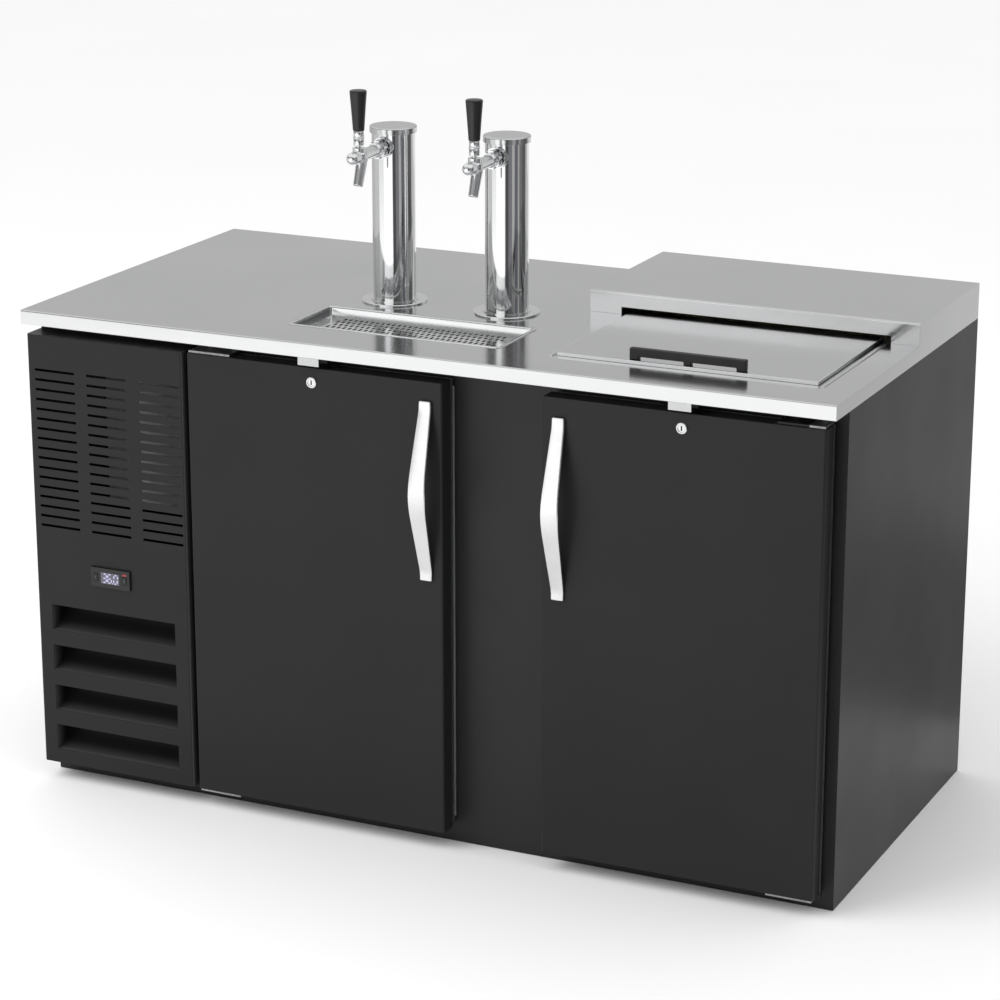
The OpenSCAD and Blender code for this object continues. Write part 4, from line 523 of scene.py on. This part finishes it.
for side in sides:
    low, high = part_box(side + "_tap_handle")
    foot = Vector(((low.x + high.x) / 2, (low.y + high.y) / 2, low.z)) / mm
    lowRadius, topRadius, height, steps = [tapGrip[key] for key in ("lowRadius", "topRadius", "height", "steps")]
    sweep = [(lowRadius + (topRadius - lowRadius) * (k / steps) ** tapGrip["flare"],
              tapGrip["sweepFrom"] + tapGrip["sweepLength"] * k / steps) for k in range(steps + 1)]
    top = softened([(*sweep[-1], 0), (topRadius, height, tapGrip["topRound"]), (0, height, 0)], steps=5)
    profile = [(0, 0)] + [(lowRadius - inward, z) for inward, z in tapGrip["footEase"]] + sweep
    profile += [tuple(p) for p in top[1:]]
    grip = addPiece(side + "TapGrip", placed(turned(profile), foot), side + "_tap", phenolicGrip, 50)
    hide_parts(side + "_tap_handle")

    low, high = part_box(side + "_tap_lever")
    axis = Vector(((low.x + high.x) / 2, (low.y + high.y) / 2, high.z)) / mm
    start, length, radius, bead, skirt = [ferrule[key] for key in ("from", "length", "radius", "bead", "skirt")]
    end = start + length
    turns = [math.radians(a) for a in range(-70, 51, 10)]
    ball = [(ferrule["ball"] * math.cos(a), ferrule["ball"] * math.sin(a)) for a in turns]
    profile = [*ferrule["finger"], *ball, *ferrule["hollow"], (ferrule["lipRadius"], skirt)]
    profile += [(radius - inward, skirt + up) for inward, up in ferrule["lipRound"]]
    z = start + length * ferrule["beadAt"]
    widths = (bead - ferrule["beadEase"], radius - ferrule["grooveDeep"], radius)
    flank = list(zip(widths, ferrule["beadSteps"]))
    profile += [(r, z - up) for r, up in reversed(flank)] + [(bead, z)] + [(r, z + up) for r, up in flank]
    profile += [(radius, end - ferrule["chamfer"]), (radius - ferrule["chamfer"], end), (0, end)]
    shape = placed(turned(profile), (axis.x, axis.y, axis.z - start - length))
    lever = addPiece(side + "TapFerrule", shape, side + "_tap", chromePlate, 50)
    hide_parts(side + "_tap_lever")
print("tap grips and ferrules turned")

# door gaskets: an extruded bellows with a magnet strip, mitred at the corners; on the side away from the
# hinges it reaches the door's edge; the flank is half of the section, as (inward, behind the door, radius)
gasketLook = {"edgeGap": 0.6, "wide": 14, "flank": (
    (0, 0, 0.3), (0, 1.0, 0.4), (1.6, 1.5, 0.3), (3.2, 2.2, 0.3), (1.2, 2.9, 0.3), (0.2, 3.4, 0.4), (0, 6.6, 1.0))}
flank = gasketLook["flank"]
otherFlank = [(gasketLook["wide"] - u, v, radius) for u, v, radius in flank]
section = softened([flank[0], *otherFlank, *reversed(flank[1:])], closed=True, steps=2)
for side in sides:
    low, high = boxMm(side + "_door_gasket")
    doorLow, doorHigh = boxMm(side + "_door_skin")
    if side == "left":
        high.x = doorHigh.x - gasketLook["edgeGap"]
    else:
        low.x = doorLow.x + gasketLook["edgeGap"]
    corners = rectangle(low.x, high.x, low.z, high.z)
    inward = rectangle(1, -1, 1, -1)
    rings = [[(cx + sx * u, low.y + v, cz + sz * u) for u, v in section]
             for (cx, cz), (sx, sz) in zip(corners, inward)]
    seal = addPiece(side + "DoorSeal", lofted(rings, loop=True), side + "_door", softPvc, 30)
    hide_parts(side + "_door_gasket")
print("door seals swept")

# cast faucets: barrel, bonnet and spout run into each other with small fillets
castLook = {"voxelMm": 0.7, "factor": 0.5, "passes": 10}
for side in sides:
    node = side + "_faucet_body"
    cast = linked(side + "FaucetCasting", nodes[node].data.copy())
    bpy.context.view_layer.objects.active = cast
    remesh = cast.modifiers.new("cast", "REMESH")
    remesh.mode = "VOXEL"
    remesh.voxel_size = castLook["voxelMm"] * mm
    ground = cast.modifiers.new("ground", "SMOOTH")
    ground.factor = castLook["factor"]
    ground.iterations = castLook["passes"]
    shaped = bpy.data.meshes.new_from_object(cast.evaluated_get(bpy.context.evaluated_depsgraph_get()))
    cast.modifiers.clear()
    cast.data = shaped
    settle(cast, bodyOf[node], chromePlate, 60)
    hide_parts(node)
print("faucets cast")

# drip pan: drawn from one sheet, with rounded corners and walls that lean outward; each row is half the
# length, half the width, the corners' radius and the height, down the inside and up the outside
panLook = {
    "inside": (
        (202, 77, 10, 877.0), (202, 77, 10, 877.8), (201.6, 76.6, 9.6, 878.2), (196.6, 71.6, 5.8, 878.2),
        (195.5, 70.5, 5.3, 877.8), (194.8, 69.8, 5.0, 877.0), (194.4, 69.4, 4.8, 875.6), (191.5, 66.5, 4.4, 862.0),
        (191.2, 66.2, 4.2, 855.0), (190.4, 65.4, 4.0, 851.8), (188.4, 63.4, 3.4, 850.2)),
    "drain": 12, "drainHeights": (850.2, 849.0),
    "outside": (
        (189.0, 64.0, 3.8, 849.0), (191.8, 66.8, 4.6, 851.0), (192.4, 67.4, 5.0, 855.0), (192.7, 67.7, 5.2, 862.0),
        (195.4, 70.4, 5.6, 875.0), (196.4, 71.4, 6.2, 877.0)),
}
panLow, panHigh = boxMm("drip_pan")
panX, panY = (panLow.x + panHigh.x) / 2, (panLow.y + panHigh.y) / 2


def panRing(halfX, halfY, radius):
    return softRectangle(-halfX, halfX, -halfY, halfY, radius, 6)


outlines = [(panRing(*row[:3]), row[3]) for row in panLook["inside"]]
# edge of the drain's hole, under its flange
rimX, rimY = panLook["inside"][0][:2]
hole = outlines[-1][0]
for z in panLook["drainHeights"]:
    hole = [Vector((u / rimX, v / rimY)).normalized() * panLook["drain"] for u, v in hole]
    outlines.append((hole, z))
outlines += [(panRing(*row[:3]), row[3]) for row in panLook["outside"]]
rings = [[(panX + u, panY + v, z) for u, v in outline] for outline, z in outlines]
pan = addPiece("drawnPan", lofted(rings, loop=True), "cabinet", drawnSteel, 50)
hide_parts("drip_pan")
print("drip pan drawn")

# screws: a low pan head with a cross recess; rows are shares of the radius and of the height
screwLook = {"height": 2.0, "steps": 32, "head": ((1.0, -0.4), (1.0, 0.35), (0.93, 0.62), (0.78, 0.86), (0.62, 1.0)),
             "recess": ((1.0, 1.0), (0.8, 0.35), (0.0, 0.25)), "hub": 0.16, "arm": 0.38, "armPower": 6}


def screwHead(at, turn, radius):
    height, steps = screwLook["height"], screwLook["steps"]
    rings = [circle(radius * share, height * z, steps) for share, z in screwLook["head"]]
    for share, z in screwLook["recess"]:
        ring = []
        for k in range(steps):
            a = 2 * math.pi * k / steps
            cross = screwLook["hub"] + screwLook["arm"] * abs(math.cos(2 * a)) ** screwLook["armPower"]
            r = radius * share * cross
            ring.append((r * math.cos(a), r * math.sin(a), height * z))
        rings.append(ring)
    return placed(lofted(rings), at, turn)


def addScrews(name, places, turn, radius):
    shape = joined([screwHead(at, turn, radius) for at in places])
    addPiece(name, shape, "cabinet", pressedSteel, 40)


hingeLook = {"leftDoorX": -424.5, "rightDoorX": 730.5, "inset": 3, "screws": (16, 64), "screwEdge": 5.2, "leaf": 3,
             "screwRadius": 3.6, "bareEnd": 30, "upperFrom": 400, "darkAhead": 0.3}
hingeLow, hingeHigh = boxMm("hinge_brackets")
leafFront = hingeHigh.y - hingeLook["leaf"]
leftStart, rightStart = hingeLook["leftDoorX"] + hingeLook["inset"], hingeLook["rightDoorX"] - hingeLook["inset"]
alongX = [leftStart + x for x in hingeLook["screws"]] + [rightStart - x for x in hingeLook["screws"]]
alongZ = (hingeLow.z + hingeLook["screwEdge"], hingeHigh.z - hingeLook["screwEdge"])
addScrews("hingeScrews", [(x, leafFront, z) for x in alongX for z in alongZ],(90, "X"), hingeLook["screwRadius"])
rearLook = {"edgeX": 735, "alongX": (-735, -370, 0, 370, 735), "alongZ": (16, 836), "edgeZ": (226, 426, 626),
            "sunk": 1.0, "screwRadius": 3.4}
rearFace = boxMm("rear_panel")[1].y - rearLook["sunk"]
rearPlaces = [(x, rearFace, z) for x in rearLook["alongX"] for z in rearLook["alongZ"]]
rearPlaces += [(x, rearFace, z) for x in (-rearLook["edgeX"], rearLook["edgeX"]) for z in rearLook["edgeZ"]]
addScrews("rearScrews", rearPlaces, (-90, "X"), rearLook["screwRadius"])
print("screws driven")

# lock faces: a raised ring round the plug, and a keyway drawn as a thin black plate, painted shade in the slot
lockLook = {"places": {"left": (-181.5, 807), "right": (487.5, 807)},
            "ring": ((6.2, -0.2), (6.2, 0.7), (6.8, 1.1), (8.6, 1.1), (9.2, 0.5), (9.3, -0.2)),
            "keyWide": 2.4, "keyHigh": 8.5, "keyRound": 1, "keyThick": 0.12}
for side, (x, z) in lockLook["places"].items():
    front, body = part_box(side + "_lock")[0].y / mm, bodyOf[side + "_lock"]
    ring = placed(turned(lockLook["ring"]), (x, front, z), (90, "X"))
    addPiece(side + "LockRing", ring, body, pressedSteel, 30)
    w, h = lockLook["keyWide"] / 2, lockLook["keyHigh"] / 2
    keyway = flatBar(softRectangle(x - w, x + w, z - h, z + h, lockLook["keyRound"]), front, lockLook["keyThick"])
    addPiece(side + "LockKeyway", keyway, body, blackRubberAndKeywayShade)
print("locks faced")

# steel angle over the foam at the lid's front gap: an upright face and a ledge up to the well
angleLook = {"beyond": 7, "faceBelow": 2, "faceTop": 875.6, "faceFront": 6.05, "faceThick": 0.2,
             "ledgeInset": 12.4, "ledgeBelow": (1.9, 1.3), "ledgeBehind": 6.9, "ledgeDeep": 12.9}
lidLow, lidHigh = boxMm("lid_panel")
beyond, inset = angleLook["beyond"], angleLook["ledgeInset"]
ledgeLow, ledgeHigh = [lidLow.z - below for below in angleLook["ledgeBelow"]]
facing = rectangle(lidLow.x - beyond, lidHigh.x + beyond, lidLow.z - angleLook["faceBelow"], angleLook["faceTop"])
ledge = rectangle(lidLow.x + inset, lidHigh.x - inset, ledgeLow, ledgeHigh)
angle = joined([flatBar(facing, lidLow.y - angleLook["faceFront"], angleLook["faceThick"]),
                flatBar(ledge, lidLow.y + angleLook["ledgeBehind"], angleLook["ledgeDeep"])])
addPiece("lidBayFacing", angle, "cabinet", pressedSteel)
# trim strips that close most of the gap round the lid at the worktop's level
trimLook = {"gap": 1.6, "wide": 4.5, "thick": 1.0, "rear": 39, "top": 877}
inner, outer = trimLook["gap"], trimLook["gap"] + trimLook["wide"]
trims = []
for x0, x1, front, rear in ((lidLow.x - outer, lidHigh.x + outer, lidLow.y - outer, lidLow.y - inner),
                            (lidLow.x - outer, lidLow.x - inner, lidLow.y - inner, trimLook["rear"]),
                            (lidHigh.x + inner, lidHigh.x + outer, lidLow.y - inner, trimLook["rear"])):
    strip = rectangle(x0, x1, trimLook["top"] - trimLook["thick"], trimLook["top"])
    trims.append(flatBar(strip, rear, rear - front))
addPiece("lidTrim", joined(trims), "cabinet", brushedTop)
print("lid's gap trimmed")

# liner sheet folded round the foam of the post between the doorways
postLook = {"low": 58.4, "high": 806.6, "outline": (
    (31.9, -291.2), (31.9, -264.4), (274.1, -264.4), (274.1, -291.2),
    (273.3, -291.2), (273.3, -265.2), (32.7, -265.2), (32.7, -291.2))}
rings = [[(x, y, z) for x, y in postLook["outline"]] for z in (postLook["low"], postLook["high"])]
addPiece("postLiner", lofted(rings, capStart=True, capEnd=True), "cabinet", stuccoLiner)
print("post lined")

# display: seven-bar digits, a red lamp, and marks printed on the keys
displayLook = {"text": "36.0", "digitHigh": 15.5, "digitWide": 7.4, "pitch": 10.4, "bar": 2.1, "barGap": 0.55,
               "slant": 0.06, "thick": 0.12, "shift": 0.2, "point": (-1.6, 0.2, -1, 0.8), "pointPitch": 2}
displayLow, displayHigh = boxMm("thermostat_display")
displayMid = (displayLow + displayHigh) / 2
barsOf = {"0": "abcdef", "3": "abcdg", "6": "acdefg"}


def digitBars(mark, x0, z0):
    w, h, b, s = [displayLook[key] for key in ("digitWide", "digitHigh", "bar", "slant")]
    g, b = b * displayLook["barGap"], b / 2
    flat = {"a": h, "g": h / 2, "d": 0}
    upright = {"f": (0, h / 2), "b": (w, h / 2), "e": (0, 0), "c": (w, 0)}
    bars = []
    for name in barsOf[mark]:
        if name in flat:
            z = flat[name]
            corners = [(g, z), (g + b, z + b), (w - g - b, z + b), (w - g, z), (w - g - b, z - b), (g + b, z - b)]
        else:
            x, z = upright[name]
            low, high = z + g, z + h / 2 - g
            corners = [(x, low), (x + b, low + b), (x + b, high - b), (x, high), (x - b, high - b), (x - b, low + b)]
        outline = [(x0 + x + s * z, z0 + z) for x, z in corners]
        bars.append(flatBar(outline, displayLow.y, displayLook["thick"]))
    return bars


digits = []
x0 = displayMid.x - 1.5 * displayLook["pitch"] + displayLook["shift"]
z0 = displayMid.z - displayLook["digitHigh"] / 2
for mark in displayLook["text"]:
    if mark == ".":
        left, right, low, high = displayLook["point"]
        point = rectangle(x0 + left, x0 + right, z0 + low, z0 + high)
        digits.append(flatBar(point, displayLow.y, displayLook["thick"]))
        x0 += displayLook["pointPitch"]
    else:
        digits += digitBars(mark, x0, z0)
        x0 += displayLook["pitch"]
addPiece("displayDigits", joined(digits), "cabinet", litDigits)

signalLook = {"wide": 8.5, "high": 3.8, "round": 0.8, "right": 0.5, "above": 4.0, "sunk": 0.1, "thick": 0.3}
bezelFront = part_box("thermostat_housing")[0].y / mm
keyLow, keyHigh = boxMm("step_key")
lampX, lampZ = (keyLow.x + keyHigh.x) / 2 + signalLook["right"], keyHigh.z + signalLook["above"]
w, h = signalLook["wide"] / 2, signalLook["high"] / 2
outline = softRectangle(lampX - w, lampX + w, lampZ - h, lampZ + h, signalLook["round"])
signal = flatBar(outline, bezelFront + signalLook["sunk"], signalLook["thick"])
addPiece("displayLamp", signal, "cabinet", redLamp)

markLook = {"long": 4.2, "wide": 0.9, "thick": 0.08}
upright, level = (markLook["wide"], markLook["long"]), (markLook["long"], markLook["wide"])
for key, body, arms in (("set_key", "set_button", [upright]), ("step_key", "step_button", [level, upright])):
    low, high = boxMm(key)
    mid = (low + high) / 2
    marks = [flatBar(rectangle(mid.x - w / 2, mid.x + w / 2, mid.z - h / 2, mid.z + h / 2), low.y, markLook["thick"])
             for w, h in arms]
    addPiece(key + "Mark", joined(marks), body, printInk)
print("display lit")

# edges rounded on the pieces that were drawn with sharp ones
for node, widthMm, slot, finish in (
        ("lid_handle", 1.4, "dark_plastic", mouldedAbs), ("thermostat_housing", 0.6, "black_plastic", mouldedAbs),
        ("set_key", 0.5, "dark_plastic", mouldedAbs), ("step_key", 0.5, "dark_plastic", mouldedAbs),
        ("left_door_liner", 1.0, "liner", stuccoLiner), ("right_door_liner", 1.0, "liner", stuccoLiner)):
    roundedCopy(node, widthMm, finish)
topBand = 0.1
roundedCopy("lid_panel", 1.2, brushedTop, lidHigh.z - topBand)
# the hinges' leaves on the frame take the frame's black finish: painted shade behind the doors and under the
# worktop's nosing
hinges = roundedCopy("hinge_brackets", 0.5, dullZinc)
finishBehind(hinges, leafFront - hingeLook["darkAhead"], powderFrame)
# the right door's upper hinge is also black but for its outer end: painted shade under the worktop's nosing
darkTo = (hingeLook["rightDoorX"] - hingeLook["bareEnd"]) * mm
work = bmesh.new()
work.from_mesh(hinges.data)
everything = work.verts[:] + work.edges[:] + work.faces[:]
bmesh.ops.bisect_plane(work, geom=everything, plane_co=(darkTo, 0, 0), plane_no=(1, 0, 0))
for face in work.faces:
    centre = face.calc_center_median()
    if centre.z > hingeLook["upperFrom"] * mm and 0 < centre.x < darkTo:
        face.material_index = 1
work.to_mesh(hinges.data)
work.free()
# the strikes' catches behind their tabs take the frame's black finish: painted shade under the worktop's nosing
strikes = roundedCopy("lock_strikes", 0.5, tumbledSteel)
strikeTab = 8
finishBehind(strikes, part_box("lock_strikes")[0].y / mm + strikeTab, powderFrame)
print("edges rounded")

# matt white studio floor, a little uneven
floorLook = {"half": 30, "height": -0.001, "skin": {
    "dark": "#F8F8F8", "light": "#FBFBFB", "peelMm": 40, "cloudMm": 900,
    "rough": (0.85, 0.95), "relief": 0.02, "depthMm": 0.1, "edgeMm": 0.1, "ior": 1.3}}
reach = floorLook["half"]
corners = [(x, y, floorLook["height"]) for x, y in rectangle(-reach, reach, -reach, reach)]
floorMesh = bpy.data.meshes.new("floor")
floorMesh.from_pydata(corners, [], [(0, 1, 2, 3)])
floor = linked("floor", floorMesh)
floorMesh.materials.append(closedSkin("matt white floor", floorLook["skin"]))

# white studio: full strength to the eye and in reflections, a little less as light on the surfaces
skyLook = {"seen": 1.0, "shed": 0.98}
world = bpy.data.worlds.new("studio")
scene.world = world
world.use_nodes = True
tree = world.node_tree
tree.nodes.clear()
path = addNode(tree, "ShaderNodeLightPath")
inputs = {0: path.outputs["Is Camera Ray"], 1: path.outputs["Is Glossy Ray"]}
seen = addNode(tree, "ShaderNodeMath", inputs, operation="MAXIMUM")
inputs = {0: seen.outputs[0], 1: path.outputs["Is Transmission Ray"]}
seen = addNode(tree, "ShaderNodeMath", inputs, operation="MAXIMUM")
inputs = {"Value": seen.outputs[0], "To Min": skyLook["shed"], "To Max": skyLook["seen"]}
power = addNode(tree, "ShaderNodeMapRange", inputs)
sky = addNode(tree, "ShaderNodeBackground", {"Color": (1, 1, 1, 1), "Strength": power.outputs["Result"]})
addNode(tree, "ShaderNodeOutputWorld", {"Surface": sky.outputs["Background"]})

# large soft lamp from the front left, above
lampLook = {"place": (-2.6, -3.2, 3.6), "aim": (0, 0, 0.4), "size": 3.2, "watts": 120}
lampData = bpy.data.lights.new("keyLamp", "AREA")
lampData.shape = "SQUARE"
lampData.size = lampLook["size"]
lampData.energy = lampLook["watts"]
lamp = linked("keyLamp", lampData)
lamp.location = lampLook["place"]
lamp.rotation_euler = (Vector(lampLook["aim"]) - lamp.location).to_track_quat("-Z", "Y").to_euler()
lamp.visible_glossy = False


# cards that only the metal and the gloss of the paint see
def addCard(name, corners, tone, strength=1.0):
    mesh = bpy.data.meshes.new(name)
    mesh.from_pydata(corners, [], [(0, 1, 2, 3)])
    card = linked(name, mesh)
    paper = bpy.data.materials.new(name)
    paper.use_nodes = True
    paper.node_tree.nodes.clear()
    glow = addNode(paper.node_tree, "ShaderNodeEmission", {"Color": linearColour(tone), "Strength": strength})
    addNode(paper.node_tree, "ShaderNodeOutputMaterial", {"Surface": glow.outputs["Emission"]})
    mesh.materials.append(paper)
    card.visible_camera = card.visible_diffuse = card.visible_shadow = False
    card.visible_transmission = card.visible_volume_scatter = False


def floorCard(name, x0, x1, y0, y1, tone):
    height = 0.004
    addCard(name, [(x, y, height) for x, y in rectangle(x0, x1, y0, y1)], tone)


# upright card from one place (x, y) to another
def uprightCard(name, start, end, low, high, tone, strength=1.0):
    addCard(name, [(*start, low), (*end, low), (*end, high), (*start, high)], tone, strength)


# upright card between two bearings, counted from the front towards the right
def spanCard(name, fromDegrees, toDegrees, distance, low, high, tone):
    middle = math.radians((fromDegrees + toDegrees) / 2)
    half = distance * math.tan(math.radians((toDegrees - fromDegrees) / 2))
    centre = Vector((math.sin(middle), -math.cos(middle))) * distance
    along = Vector((math.cos(middle), math.sin(middle))) * half
    uprightCard(name, centre - along, centre + along, low, high, tone)


# behind the cabinet: the worktop shows it
spanCard("backCard", -210, -136, 5, 0.4, 6, "#CCCCCC")
# on the floor at the right: the cabinet's side and the worktop's right edge show it
floorCard("nearFloorCard", 0.8, 2.4, 0.6, 1.75, "#9C9C9C")
floorCard("farFloorCard", 0.8, 3.6, 1.75, 5.5, "#D6D6D6")
# in front: bright for columns, pulls, hood and tray, grey above
uprightCard("lowSoftbox", (-2.16, -1.54), (0.2, -2.63), 0.12, 0.46, "#FFFFFF", 1.5)
uprightCard("highSoftbox", (-1.16, -2.0), (0.5, -2.0), 0.3, 1.38, "#FFFFFF", 1.5)
uprightCard("hoodSoftbox", (-1.16, -2.0), (-0.16, -2.0), 1.38, 1.85, "#FFFFFF", 1.3)
uprightCard("greyFront", (-4.5, -2.1), (2.5, -2.1), 1.85, 2.9, "#A4A4A4")
# high at both sides of the front: grey, for the columns' images in the worktop
spanCard("darkLeft", -110, -31, 2.3, 1.4, 1.85, "#585858")
spanCard("darkRight", -3, 80, 2.3, 1.4, 1.85, "#585858")
# upright strips that the round columns show side by side
stripLook = {"distance": 2.5, "low": 0.02, "high": 2.2}
for name, start, end, tone in (
        ("stripA", 17, 33, "#565656"), ("stripB", 33, 51, "#828286"), ("stripC", 51, 65, "#BBBBBB"),
        ("stripD", 65, 83, "#717177"), ("stripE", 83, 91, "#BBBBBB"), ("stripF", 91, 109, "#7D7D7D"),
        ("stripG", 109, 135, "#646464"), ("stripH", 135, 146, "#C4C4C4"), ("stripI", -90, -58, "#DCDCDC"),
        ("stripJ", -132, -90, "#CCCCCC")):
    spanCard(name, start, end, stripLook["distance"], stripLook["low"], stripLook["high"], tone)
print("studio lit")
